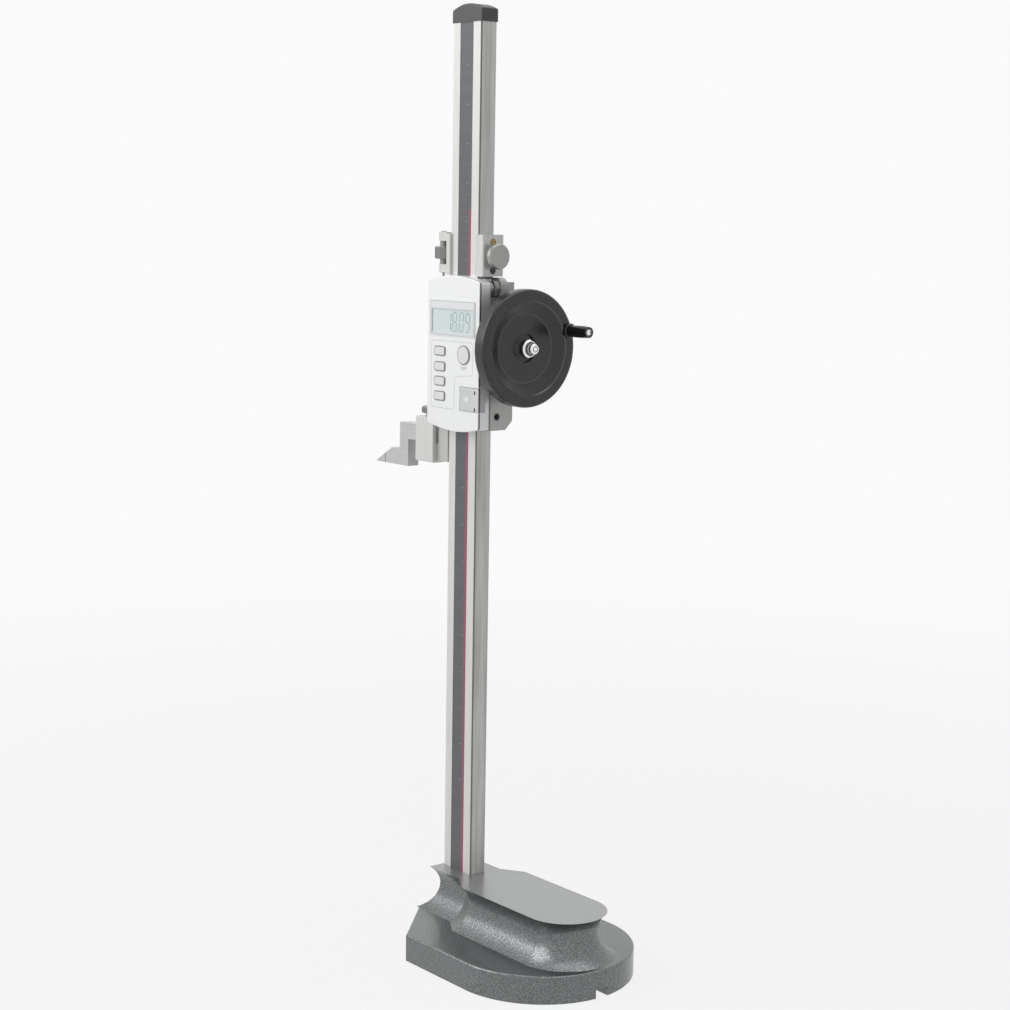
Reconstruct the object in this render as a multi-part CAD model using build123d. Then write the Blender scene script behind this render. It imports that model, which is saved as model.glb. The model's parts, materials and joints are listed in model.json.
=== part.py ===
from build123d import *
from math import acos, atan2, cos, degrees, pi, radians, sin, tan
import os

os.makedirs("parts", exist_ok=True)

# Digital height gauge. Millimetres, +Z up, origin on the underside of the base below the
# middle of the column. +X runs along the display face towards the round end of the base,
# +Y is the back of the column where the rack lies.

# fits
RUN = 0.05           # running gap between a sliding or turning piece and its guide
SEAT = 0.02          # gap round a piece that is fixed in its seat
SHAFT_GAP = 0.03     # radial gap of a shaft in its bore
OVER = 1.0           # how far a cut runs out past a face

# small turned pieces and fasteners
EDGE = 0.6           # eased edge of knobs and nuts
SLOT_HALF = 0.35
SLOT_DEPTH = 0.6
SMALL_R = 1.25
SMALL_HEAD_R = 2.2
SMALL_HEAD_T = 1.3

# base casting
BASE_H = 48.0
FLANGE_H = 18.5
FLANGE_R = 63.0
FLANGE_END_X = 82.0
FLANGE_LEFT_X = -22.0
FLANGE_LEFT_HALF = 22.5
FLANGE_SHOULDER_X = 17.5
FLANGE_EDGE_R = 1.2
TOP_R = 28.0
TOP_END_X = 107.0
DIAGONAL_IN = (17.0, 18.0)
DIAGONAL_OUT = (33.0, 28.0)
LOBE_HALF = 18.0
LOBE_LEFT_X = -16.0
COVE_IN = 5.3
COVE_OUT = 6.3
COVE_WAIST_Z = 37.3
COVE_MID_DEG = (20.0, 30.0)
COVE_REACH = 150.0
RELIEF_X = (34.0, 116.0)
RELIEF_HALF = 34.0
RELIEF_H = 6.0
RELIEF_CORNER = 12.0
GROOVE_W = 10.0

# column, its strip, rack and cap
COL_W = 30.0
COL_D = 13.0
COL_TOP = 623.0
COL_CHAMFER = 0.76
COL_HALF = COL_W / 2
TENON_X = (-9.5, 13.0)
TENON_HALF_Y = 5.0
TENON_H = 6.0
STRIP_X = (-7.2, 6.6)
STRIP_SEAT = 0.8
STRIP_T = 0.6
STRIP_END_GAP = 3.0
RACK_W = 8.0
RACK_PITCH_Y = 5.5
RACK_BACK_Y = 1.5
RACK_ADD = 0.7
RACK_DED = 1.0
RACK_TEETH_BELOW = 108
RACK_TEETH_ABOVE = 63
RACK_SCREW_Z = (79.0, 92.0, 574.0, 592.0)
RACK_SCREW_R = 1.5
RACK_SCREW_HEAD_R = 2.7
RACK_SCREW_HEAD_T = 1.3
RACK_SCREW_LEN = 6.0
FOOT_SCREW_X = (-5.5, 7.5)
FOOT_SCREW_R = 2.5
FOOT_HEAD_R = 4.25
FOOT_HEAD_H = 5.0
FOOT_BORE_R = 4.6
FOOT_BORE_H = 20.0
FOOT_SCREW_TOP = 54.0
FOOT_HOLE_TOP = 56.0
FOOT_SOCKET_AF = 4.0
CAP_OVERHANG = 0.3
CAP_CORNER_H = 8.5
CAP_PEAK_H = 12.0
CAP_EDGE_R = 1.2
CAP_SCREW_R = 2.0
CAP_SCREW_HEAD_R = 3.8
CAP_SCREW_HEAD_T = 2.6
CAP_SCREW_SLOT = 1.2
CAP_HOLE_LEN = 12.0
CAP_SCREW_LEN = 10.0

# rack drive
MODULE = 1.0
TEETH = 12
PRESSURE = 20.0
PINION_R = MODULE * TEETH / 2
PINION_ADD = 0.75
PINION_DED = 0.95
BACKLASH = 0.2
FLANK_STEPS = 3
PINION_W = 7.6
AXLE_Y = RACK_PITCH_Y + PINION_R
AXLE_Z = 411.8
AXLE_R = 3.5

# slider and drive housing
WALL = COL_HALF + RUN                # inner faces that run on the column edges
LEFT_WALL = 5.0
RIGHT_WALL = 7.0
SIDE_X = (-COL_HALF - LEFT_WALL, COL_HALF + RIGHT_WALL)
SLIDER_FRONT_Y = -9.0
SPLIT_Y = 1.1
SLIDER_Z = (355.8, 456.6)
ARM_Y = 4.5
ROOT_PROUD = 9.0
ROOT_OVERLAP = 1.5
ROOT_X = (SIDE_X[0] - ROOT_PROUD, SIDE_X[0] + ROOT_OVERLAP)
ROOT_Z = (331.0, 372.0)
JAW_LEN = 21.3
JAW_LEFT_X = ROOT_X[0] - JAW_LEN
JAW_TOP_Z = 342.6
PLATE_Z = (360.2, 453.0)
PLATE_BACK_Y = -6.45
EDGE_LINE_Y = (-1.9, -0.5)
EDGE_LINE_DEPTH = 0.6
HOUSING_BACK_Y = 18.6
HOUSING_TOP_Z = 454.4
HOUSING_CHAMFER = 6.0
BUSH_R = 5.5
BUSH_X = ((SIDE_X[0] + 0.2, -COL_HALF - 0.1), (COL_HALF + 0.1, SIDE_X[1] - 0.2))
AXLE_CLEAR = 0.4
PINION_ROOM_X = 5.0
PINION_ROOM_Z = 8.0
GIB_T = 1.35
GIB_Y = (-5.0, 0.6)
GIB_Z = (359.5, 453.0)
GIB_SCREW_Z = (382.0, 425.0)
GIB_SCREW_Y = -2.2
GIB_SCREW_R = 2.0
GIB_SCREW_X = SIDE_X[0] - 0.6
SIDE_SCREW_Y = 5.3
SIDE_SCREW_Z = 365.0
SIDE_SCREW_R = 2.5
SIDE_SCREW_X = (COL_HALF + 0.6, SIDE_X[1] - 0.8)
SIDE_SOCKET_R = 1.25
SIDE_SOCKET_H = 2.0
JOIN_SCREW_X = (-COL_HALF - 2.75, COL_HALF + 3.8)
JOIN_SCREW_Z = (370.0, 438.0)
JOIN_HEAD_T = 1.8
JOIN_SINK = 2.2
JOIN_TIP_Y = -4.5
COVER_HALF_X = COL_HALF
COVER_Z = (364.0, 450.0)
COVER_T = 2.0
COVER_CORNER_R = 3.0
COVER_SCREW_INSET = (3.0, 4.0)
COVER_SCREW_TIP_Y = 13.5
FACE_SCREW_X = 11.0
FACE_SCREW_Z = (366.0, 446.0)
FACE_SCREW_TIP_Y = -12.4
FACE_SCREW_SINK = 0.1
SENSOR_X = (-10.0, 10.0)
SENSOR_Z = (384.0, 436.0)
SENSOR_Y = (-8.6, -7.0)

# coarse roller on the right edge of the column
ROLLER_R = 5.6
ROLLER_X = WALL + ROLLER_R
ROLLER_Z = 450.6
ROLLER_Y = (-0.5, 3.4)
ROLLER_EDGE = 0.4
ROLLER_PIN_R = 1.5
ROLLER_PIN_Y = (-5.6, 8.4)
POCKET_Y = (-0.9, 3.8)
POCKET_Z = 444.4
EAR_R = 4.0
EAR_FRONT_Y = -6.0
EAR_BACK_Y = 9.3
EAR_X = ROLLER_X + 5.35
EAR_TOP_Z = 457.4
EAR_CORNER_R = 4.5

# handwheel, its nut and its handle
WHEEL_R = 39.0
WHEEL_GAP = 0.8
WHEEL_HUB_LEN = 14.35
WHEEL_RIM_W = 10.65
WHEEL_HUB_R = 9.5
WHEEL_HUB_X = SIDE_X[1] + WHEEL_GAP
WHEEL_RIM_X = (WHEEL_HUB_X + WHEEL_HUB_LEN, WHEEL_HUB_X + WHEEL_HUB_LEN + WHEEL_RIM_W)
WHEEL_RIM_IN_R = 30.8
WHEEL_RIM_LIP = 0.7
WHEEL_RIM_IN_X = WHEEL_RIM_X[1] - WHEEL_RIM_LIP
WHEEL_DISC_R = 22.8
WHEEL_DISH_H = 5.3
WHEEL_DISC_X = WHEEL_RIM_X[1] - WHEEL_DISH_H
WHEEL_RECESS_R = 9.7
WHEEL_RECESS_H = 1.6
WHEEL_BACK_R = (11.5, 32.5, 33.7)
WHEEL_BACK_H = 1.65
WHEEL_BACK_X = WHEEL_RIM_X[0] + WHEEL_BACK_H
WHEEL_EDGE_R = 2.2
NUT_R = 6.0
NUT_T = 7.7
NUT_X = (WHEEL_DISC_X - WHEEL_RECESS_H, WHEEL_DISC_X - WHEEL_RECESS_H + NUT_T)
NUT_EDGE = 0.8
NUT_CAP_R = 3.65
NUT_CAP_T = 4.9
NUT_CAP_X = NUT_X[1] + NUT_CAP_T
NUT_CAP_EDGE_R = 1.4
AXLE_END_INSET = 0.5
AXLE_THREAD_PROUD = 1.9
AXLE_X = (SIDE_X[0] + AXLE_END_INSET, NUT_X[1] + AXLE_THREAD_PROUD)
THREAD_R = 2.5
HANDLE_Y = 44.8
HANDLE_Z = 422.8
HANDLE_COLLAR_R = 5.0
HANDLE_COLLAR_T = 2.7
HANDLE_COLLAR_X = (WHEEL_RIM_X[1], WHEEL_RIM_X[1] + HANDLE_COLLAR_T)
GRIP_R = 4.1
GRIP_END_R = 3.6
GRIP_LEN = 17.8
GRIP_GAP = 0.2
GRIP_X = (HANDLE_COLLAR_X[1] + GRIP_GAP, HANDLE_COLLAR_X[1] + GRIP_GAP + GRIP_LEN)
HANDLE_SCREW_R = 1.8
HANDLE_ROOT = 7.3
HANDLE_ROOT_X = WHEEL_RIM_X[1] - HANDLE_ROOT
HANDLE_HEAD_R = 2.4
HANDLE_HEAD_T = 1.2
HANDLE_HEAD_GAP = 0.3
HANDLE_HEAD_X = (GRIP_X[1] - HANDLE_HEAD_GAP - HANDLE_HEAD_T, GRIP_X[1] - HANDLE_HEAD_GAP)

# display head
HEAD_HALF_X = 27.8
HEAD_Y = (-15.5, -6.5)
HEAD_WALL = 2.0
HEAD_TOP_Z = (454.6, 458.3)
HEAD_LOW_Z = (358.9, 354.6, 357.6)
HEAD_CORNER_R = 2.0
HEAD_EDGE_R = 0.5
HEAD_LINE_Y = (-14.9, -13.8)
HEAD_LINE_DEPTH = 0.5
BOSS_R = 2.6
BOSS_HOLE_CLEAR = 0.3
LCD_X = (-22.8, 21.7)
LCD_Z = (419.9, 435.7)
LCD_RECESS = 0.3
LCD_BACK_X = (-24.0, 23.0)
LCD_BACK_Z = (418.3, 437.3)
BEZEL_X = (-25.0, 23.6)
BEZEL_Z = (417.8, 441.9)
BEZEL_T = 0.5
BEZEL_CORNER_R = 1.0
KEY_X = -13.8
KEY_Z = (407.6, 397.2, 387.4, 377.4)
KEY_SIZE = (10.5, 5.3)
KEY_CORNER_R = 1.2
KEY_EDGE_R = 0.35
KEY_PROUD = 0.8
KEY_GAP = 0.1
KEY_FLANGE = 1.0
KEY_FLANGE_T = 0.9
POWER_X = 11.9
POWER_Z = 406.2
POWER_R = 5.85
BOARD_Y = (-10.6, -9.0)
BOARD_INSET = 3.3
BOARD_CUT_X = 6.5
BOARD_X = (-HEAD_HALF_X + BOARD_INSET, HEAD_HALF_X - BOARD_INSET)
BOARD_TOP_Z = (388.5, 442.5)
BOARD_LOW_X = (-HEAD_HALF_X + BOARD_INSET, BOARD_CUT_X)
BOARD_LOW_Z = (370.5, 388.5)
SWITCH_R = 2.0
SWITCH_T = 0.9
SWITCH_EDGE = 0.3
BATTERY_INSET = 10.8
BATTERY_X = HEAD_HALF_X - BATTERY_INSET
BATTERY_Z = 377.15
BATTERY_R = 5.8
BATTERY_Y = (-14.2, -10.0)
BATTERY_EDGE = 0.3
TRAY_R = 7.2
TRAY_Y = (-13.2, -9.0)
CONTACT_X = (BATTERY_X - 5.0, BATTERY_X + 4.0)
CONTACT_HALF_Z = 2.0
CONTACT_T = 0.4
CONTACT_BUMP = (BATTERY_X - 1.5, BATTERY_X + 1.5)
DOOR_W = 19.9
DOOR_X = HEAD_HALF_X - DOOR_W
DOOR_Z = (369.0, 385.3)
DOOR_T = 1.1
DOOR_WRAP_Y = -9.4
DOOR_WRAP_T = 1.4
DOOR_TONGUE = 0.7
DOOR_TONGUE_Y = (-14.95, -14.4)
DOOR_GAP = 0.06
PORT_Z = (375.4, 384.6)
PORT_Y = (-12.6, -10.9)
PORT_PLUG_PROUD = 0.5
PORT_PLUG_LEN = 3.3
PORT_PLUG_X = (-HEAD_HALF_X - PORT_PLUG_PROUD, -HEAD_HALF_X - PORT_PLUG_PROUD + PORT_PLUG_LEN)
PORT_PLUG_EDGE = 0.3
SOCKET_LEN = 3.9
SOCKET_X = (BOARD_X[0], BOARD_X[0] + SOCKET_LEN)

# fine adjustment: bracket, screw, nut and lock
FINE_X = SIDE_X[0] - 4.2
FINE_Y = -5.4
FINE_R = 1.9
FINE_EDGE = 0.4
FINE_PIN_R = 0.85
FINE_PIN_Z = 450.0
FINE_Z = (459.4, 487.3)
STEM_X = (FINE_X - 2.8, SIDE_X[0] + 0.5)
STEM_Y = (-6.4, -2.1)
STEM_Z = (448.0, 455.0)
CLAMP_Z = (458.2, 485.6)
CLAMP_Y = (-8.4, 9.2)
CLAMP_X = (-COL_HALF - 3.1, COL_HALF + 7.0)
CLAMP_LIP_X = COL_HALF - 1.4
CLAMP_EDGE_R = 1.0
LUG_R = 3.3
LUG_Z = ((459.7, 465.2), (480.7, 486.6))
LUG_FRONT_INSET = 0.3
NUT_OUTER_R = 5.85
FINE_COLLAR_R = 2.5
FINE_NUT_Z = (468.7, 477.0)
LOCK_Z = 471.4
LOCK_R = 8.4
LOCK_X = (CLAMP_X[1] + 3.6, CLAMP_X[1] + 7.8)
LOCK_EDGE = 0.7
LOCK_CONE = (6.6, 0.9)
LOCK_COLLAR_R = 5.0
LOCK_COLLAR_X = CLAMP_X[1] + 0.1
LOCK_SHANK_R = 2.5
SHOE_T = 1.5
SHOE_HALF_Y = 4.0
SHOE_HALF_Z = 5.5
LOCK_TIP_X = WALL + SHOE_T + RUN
CLAMP_SCREW_Z = (462.1, 480.7)
CLAMP_SCREW_R = 2.5
CLAMP_SCREW_X = (COL_HALF + 1.2, CLAMP_X[1] - 0.3)

# jaw clamp and scriber
BOX_PROUD = 0.2
BOX_W = 19.5
BOX_X = (ROOT_X[0] - JAW_LEN - BOX_PROUD, ROOT_X[0] - JAW_LEN - BOX_PROUD + BOX_W)
BOX_Y = 7.9
BOX_Z = (329.4, 360.5)
BOX_EDGE = 0.8
BAR_GAP = 0.03
BLADE_TOP_Z = 354.0
BLADE_BOTTOM_Z = JAW_TOP_Z + BAR_GAP
BLADE_LEN = 42.4
BLADE_LEG_W = 9.9
BLADE_RIGHT_X = BOX_X[1] - BOX_PROUD
BLADE_LEFT_X = BLADE_RIGHT_X - BLADE_LEN
BLADE_LEG_X = BLADE_LEFT_X + BLADE_LEG_W
BLADE_CORNER = 1.0
FOOT_TOP_Z = 335.0
POINT_BOTTOM_Z = 323.5
TOE_LEN = 9.4
FOOT_LEN = 17.3
TIP_LEN = 10.3
SLOPE_X = BLADE_LEFT_X - TOE_LEN
CARBIDE_X = BLADE_LEFT_X - FOOT_LEN
POINT_X = CARBIDE_X - TIP_LEN
POINT_T = 0.5
BOX_KNOB_R = 8.0
BOX_KNOB_Z = (362.7, 367.4)
BOX_KNOB_COLLAR_R = 5.0
BOX_KNOB_COLLAR_Z = BOX_Z[1] + 0.1
BOX_KNOB_SHANK_R = 2.5
BOX_SHOE_T = 1.6
BOX_SHOE_HALF = BOX_KNOB_SHANK_R + 1.5


def block(x, y, z):
    """Box between three pairs of limits."""
    size = [b - a for a, b in (x, y, z)]
    middle = [(a + b) / 2 for a, b in (x, y, z)]
    return Pos(*middle) * Box(*size)


def rod(radius, start, length, axis="Z"):
    """Round bar from a start point along one axis."""
    bar = Cylinder(radius, length, align=(Align.CENTER, Align.CENTER, Align.MIN))
    turn = {"X": Rot(0, 90, 0), "Y": Rot(-90, 0, 0), "Z": Rot(0, 0, 0)}[axis]
    return Pos(*start) * turn * bar


def plate_xz(points, y):
    """Flat plate from a closed outline of (x, z) points between two Y limits."""
    face = Plane.XZ * Polygon(*points, align=None)
    return extrude(Pos(0, y[1], 0) * face, y[1] - y[0])


def save(shape, node):
    """Write one named piece."""
    export_step(shape, f"parts/{node}.step")


# ---------------------------------------------------------------- base casting

def cove_points():
    """Cove as (outward, z) points: edge, waist, foot, and one point on each arc."""
    up = BASE_H - COVE_WAIST_Z
    down = COVE_WAIST_Z - FLANGE_H
    r_up = (COVE_IN ** 2 + up ** 2) / (2 * COVE_IN)
    spread = COVE_IN + COVE_OUT
    r_down = (spread ** 2 + down ** 2) / (2 * spread)
    half_up, half_down = [radians(angle) for angle in COVE_MID_DEG]
    mid_up = (-COVE_IN + r_up * (1 - cos(half_up)), COVE_WAIST_Z + r_up * sin(half_up))
    mid_down = (-COVE_IN + r_down * (1 - cos(half_down)), COVE_WAIST_Z - r_down * sin(half_down))
    return (0, BASE_H), mid_up, (-COVE_IN, COVE_WAIST_Z), mid_down, (COVE_OUT, FLANGE_H)


def cove_face(offset, inner):
    """Half section of the coved stand: filled from `inner` out to the cove wall."""
    edge, mid_up, waist, mid_down, foot = [(offset + d, z) for d, z in cove_points()]
    with BuildLine() as line:
        ThreePointArc(edge, mid_up, waist)
        ThreePointArc(waist, mid_down, foot)
        Polyline(foot, (inner, FLANGE_H), (inner, BASE_H), edge)
    return make_face(line.line)


def coved_bar(half, x):
    """Coved section on both sides of the X axis, run between two X limits."""
    side = Plane.YZ * cove_face(half, 0)
    right = extrude(Pos(x[0], 0, 0) * side, x[1] - x[0])
    return right + mirror(right, Plane.XZ)


def coved_wall(point, outward_deg, depth):
    """Large coved block whose wall passes through a plan point and faces one direction."""
    face = Plane.XZ * cove_face(0, -depth)
    wall = extrude(face, depth, both=True)
    return Pos(point[0], point[1], 0) * Rot(0, 0, outward_deg) * wall


def coved_stand():
    """Raised stand: round end, straight flanks, diagonal shoulders and the narrow lobe."""
    wide = coved_bar(TOP_R, (0, TOP_END_X))
    turned = revolve(Plane.XZ * cove_face(TOP_R, 0), Axis.Z, 360)
    wide += Pos(TOP_END_X, 0, 0) * turned
    run = DIAGONAL_OUT[0] - DIAGONAL_IN[0]
    rise = DIAGONAL_OUT[1] - DIAGONAL_IN[1]
    outward = degrees(atan2(run, -rise))
    wide = wide & coved_wall(DIAGONAL_IN, outward, COVE_REACH)
    wide = wide & coved_wall((DIAGONAL_IN[0], -DIAGONAL_IN[1]), -outward, COVE_REACH)
    lobe = coved_bar(LOBE_HALF, (FLANGE_LEFT_X, DIAGONAL_OUT[0]))
    lobe = lobe & coved_wall((LOBE_LEFT_X, 0), 180, COVE_REACH)
    return wide + lobe


def flange():
    """Broad foot with a round end and chamfered left corners."""
    left = [(FLANGE_END_X, FLANGE_R), (FLANGE_SHOULDER_X, FLANGE_R),
            (FLANGE_LEFT_X, FLANGE_LEFT_HALF), (FLANGE_LEFT_X, -FLANGE_LEFT_HALF),
            (FLANGE_SHOULDER_X, -FLANGE_R), (FLANGE_END_X, -FLANGE_R)]
    outline = Polygon(*left, align=None) + Pos(FLANGE_END_X, 0) * Circle(FLANGE_R)
    body = extrude(outline, FLANGE_H)
    top = body.faces().sort_by(Axis.Z)[-1]
    return fillet(top.edges(), FLANGE_EDGE_R)


def make_base_casting():
    body = flange() + coved_stand()
    end_x = FLANGE_END_X + FLANGE_R
    body = body & block((FLANGE_LEFT_X, end_x), (-FLANGE_R, FLANGE_R), (0, BASE_H))
    relief = RectangleRounded(RELIEF_X[1] - RELIEF_X[0], 2 * RELIEF_HALF, RELIEF_CORNER)
    body -= extrude(Pos(sum(RELIEF_X) / 2, 0) * relief, RELIEF_H)
    groove_x = (RELIEF_X[1] - OVER, end_x + OVER)
    body -= block(groove_x, (-GROOVE_W / 2, GROOVE_W / 2), (0, RELIEF_H))
    tenon_z = (BASE_H - TENON_H - SEAT, BASE_H)
    tenon_x = (TENON_X[0] - SEAT, TENON_X[1] + SEAT)
    body -= block(tenon_x, (-TENON_HALF_Y - SEAT, TENON_HALF_Y + SEAT), tenon_z)
    for x in FOOT_SCREW_X:
        body -= rod(FOOT_BORE_R, (x, 0, 0), FOOT_BORE_H)
        body -= rod(FOOT_SCREW_R + SHAFT_GAP, (x, 0, 0), BASE_H)
    return body


def make_column_screws():
    """Two socket screws that pull the column down from below."""
    screws = []
    for x in FOOT_SCREW_X:
        head = rod(FOOT_HEAD_R, (x, 0, FOOT_BORE_H - FOOT_HEAD_H), FOOT_HEAD_H)
        socket = Pos(x, 0, FOOT_BORE_H - FOOT_HEAD_H)
        socket *= extrude(RegularPolygon(FOOT_SOCKET_AF / 2, 6, major_radius=False), FOOT_HEAD_H / 2)
        shank = rod(FOOT_SCREW_R, (x, 0, FOOT_BORE_H), FOOT_SCREW_TOP - FOOT_BORE_H)
        screws.append(head - socket + shank)
    return Compound(children=screws)


# ---------------------------------------------------------------- column, strip, rack and cap

def rack_z(index):
    """Height of a rack tooth gap."""
    return AXLE_Z + index * pi * MODULE


def make_column():
    body = block((-COL_HALF, COL_HALF), (-COL_D / 2, COL_D / 2), (BASE_H, COL_TOP))
    body = chamfer(body.edges().filter_by(Axis.Z), COL_CHAMFER)
    front = -COL_D / 2
    body -= block(STRIP_X, (front - OVER, front + STRIP_SEAT), (BASE_H, COL_TOP))
    low = rack_z(-RACK_TEETH_BELOW) - SEAT
    high = rack_z(RACK_TEETH_ABOVE) + SEAT
    half = RACK_W / 2 + SEAT
    body -= block((-half, half), (RACK_BACK_Y - SEAT, COL_D), (low, high))
    for z in RACK_SCREW_Z:
        tip = RACK_PITCH_Y - MODULE * RACK_DED - RACK_SCREW_LEN
        body -= rod(RACK_SCREW_R + SEAT, (0, tip, z), RACK_SCREW_LEN, "Y")
    tenon_z = (BASE_H - TENON_H, BASE_H)
    body += block(TENON_X, (-TENON_HALF_Y, TENON_HALF_Y), tenon_z)
    for x in FOOT_SCREW_X:
        body -= rod(FOOT_SCREW_R + SHAFT_GAP, (x, 0, tenon_z[0]), FOOT_HOLE_TOP - tenon_z[0])
    body -= rod(CAP_SCREW_R + SHAFT_GAP, (0, 0, COL_TOP - CAP_HOLE_LEN), CAP_HOLE_LEN)
    return body


def make_scale_strip():
    """Graduated strip let into the front of the column."""
    seat = -COL_D / 2 + STRIP_SEAT
    x = (STRIP_X[0] + SEAT, STRIP_X[1] - SEAT)
    return block(x, (seat - STRIP_T, seat), (BASE_H + STRIP_END_GAP, COL_TOP - STRIP_END_GAP))


def make_gear_rack():
    """Rack with straight 20 degree teeth facing the back."""
    pitch = pi * MODULE
    tip_y = RACK_PITCH_Y + RACK_ADD * MODULE
    root_y = RACK_PITCH_Y - RACK_DED * MODULE
    slope = tan(radians(PRESSURE))
    half_pitch_line = pitch / 4 - BACKLASH / 4
    half_tip = half_pitch_line - RACK_ADD * slope
    half_root = half_pitch_line + RACK_DED * slope
    points = [(RACK_BACK_Y, rack_z(-RACK_TEETH_BELOW)), (root_y, rack_z(-RACK_TEETH_BELOW))]
    for i in range(-RACK_TEETH_BELOW, RACK_TEETH_ABOVE):
        z = rack_z(i) + pitch / 2
        points += [(root_y, z - half_root), (tip_y, z - half_tip)]
        points += [(tip_y, z + half_tip), (root_y, z + half_root)]
    points += [(root_y, rack_z(RACK_TEETH_ABOVE)), (RACK_BACK_Y, rack_z(RACK_TEETH_ABOVE))]
    body = extrude(Plane.YZ * Polygon(*points, align=None), RACK_W / 2, both=True)
    for z in RACK_SCREW_Z:
        body -= rod(RACK_SCREW_R + SEAT, (0, 0, z), COL_D, "Y")
        head_y = root_y - RACK_SCREW_HEAD_T
        body -= rod(RACK_SCREW_HEAD_R + SEAT, (0, head_y, z), COL_D, "Y")
    return body


def make_rack_screws():
    """Cheese-head screws sunk below the roots of the rack teeth."""
    screws = []
    root_y = RACK_PITCH_Y - RACK_DED * MODULE
    for z in RACK_SCREW_Z:
        head = rod(RACK_SCREW_HEAD_R, (0, root_y - RACK_SCREW_HEAD_T, z), RACK_SCREW_HEAD_T, "Y")
        slot_x = (-RACK_SCREW_HEAD_R, RACK_SCREW_HEAD_R)
        head -= block(slot_x, (root_y - SLOT_DEPTH, root_y), (z - SLOT_HALF, z + SLOT_HALF))
        length = RACK_SCREW_LEN - RACK_SCREW_HEAD_T
        shank = rod(RACK_SCREW_R, (0, root_y - RACK_SCREW_LEN, z), length, "Y")
        screws.append(head + shank)
    return Compound(children=screws)


def make_column_cap():
    """Domed end cap, a little wider than the column."""
    half_x = COL_HALF + CAP_OVERHANG
    half_y = COL_D / 2 + CAP_OVERHANG
    with BuildLine() as line:
        Polyline((-half_x, CAP_CORNER_H), (-half_x, 0), (half_x, 0), (half_x, CAP_CORNER_H))
        ThreePointArc((half_x, CAP_CORNER_H), (0, CAP_PEAK_H), (-half_x, CAP_CORNER_H))
    body = Pos(0, 0, COL_TOP) * extrude(Plane.XZ * make_face(line.line), half_y, both=True)
    upper = [e for e in body.edges() if e.center().Z > COL_TOP + CAP_CORNER_H - 0.1]
    body = fillet(upper, CAP_EDGE_R)
    body -= rod(CAP_SCREW_R + SEAT, (0, 0, COL_TOP), CAP_PEAK_H)
    seat_z = COL_TOP + CAP_CORNER_H
    body -= rod(CAP_SCREW_HEAD_R + SEAT, (0, 0, seat_z), CAP_PEAK_H)
    return body


def make_cap_screw():
    """Cheese-head screw down through the cap."""
    seat_z = COL_TOP + CAP_CORNER_H
    top_z = seat_z + CAP_SCREW_HEAD_T
    head = rod(CAP_SCREW_HEAD_R, (0, 0, seat_z), CAP_SCREW_HEAD_T)
    slot_x = (-CAP_SCREW_HEAD_R, CAP_SCREW_HEAD_R)
    head -= block(slot_x, (-SLOT_HALF, SLOT_HALF), (top_z - CAP_SCREW_SLOT, top_z))
    bottom = COL_TOP - CAP_SCREW_LEN
    return head + rod(CAP_SCREW_R, (0, 0, bottom), seat_z - bottom)


# ---------------------------------------------------------------- pinion, axle and handwheel

def tooth_outline():
    """Closed outline of the pinion in (y, z) about its own centre, a tooth at 180 degrees."""
    base_r = PINION_R * cos(radians(PRESSURE))
    tip_r = PINION_R + PINION_ADD * MODULE
    root_r = PINION_R - PINION_DED * MODULE
    half_pitch = pi / (2 * TEETH) - BACKLASH / (4 * PINION_R)

    def involute(r):
        a = acos(min(1.0, base_r / r))
        return tan(a) - a

    def half_angle(r):
        return half_pitch + involute(PINION_R) - involute(r)

    radii = [base_r + (tip_r - base_r) * k / FLANK_STEPS for k in range(FLANK_STEPS + 1)]
    points = []
    for i in range(TEETH):
        middle = pi + i * 2 * pi / TEETH
        flank = [(r, half_angle(r)) for r in radii]
        rising = [(root_r, half_angle(base_r))] + flank
        for r, a in rising:
            points.append((r * cos(middle - a), r * sin(middle - a)))
        for r, a in reversed(rising):
            points.append((r * cos(middle + a), r * sin(middle + a)))
    return points


def make_pinion():
    face = Plane.YZ * Polygon(*tooth_outline(), align=None)
    gear = extrude(face, PINION_W / 2, both=True)
    gear = Pos(0, AXLE_Y, AXLE_Z) * gear
    return gear - rod(AXLE_R + SEAT, (-PINION_W, AXLE_Y, AXLE_Z), 2 * PINION_W, "X")


def make_pinion_axle():
    """Axle through pinion, bushes and wheel, necked down to the thread under the nut."""
    long = rod(AXLE_R, (AXLE_X[0], AXLE_Y, AXLE_Z), NUT_X[0] - AXLE_X[0], "X")
    neck = rod(THREAD_R, (AXLE_X[0], AXLE_Y, AXLE_Z), AXLE_X[1] - AXLE_X[0], "X")
    return long + neck


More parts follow.
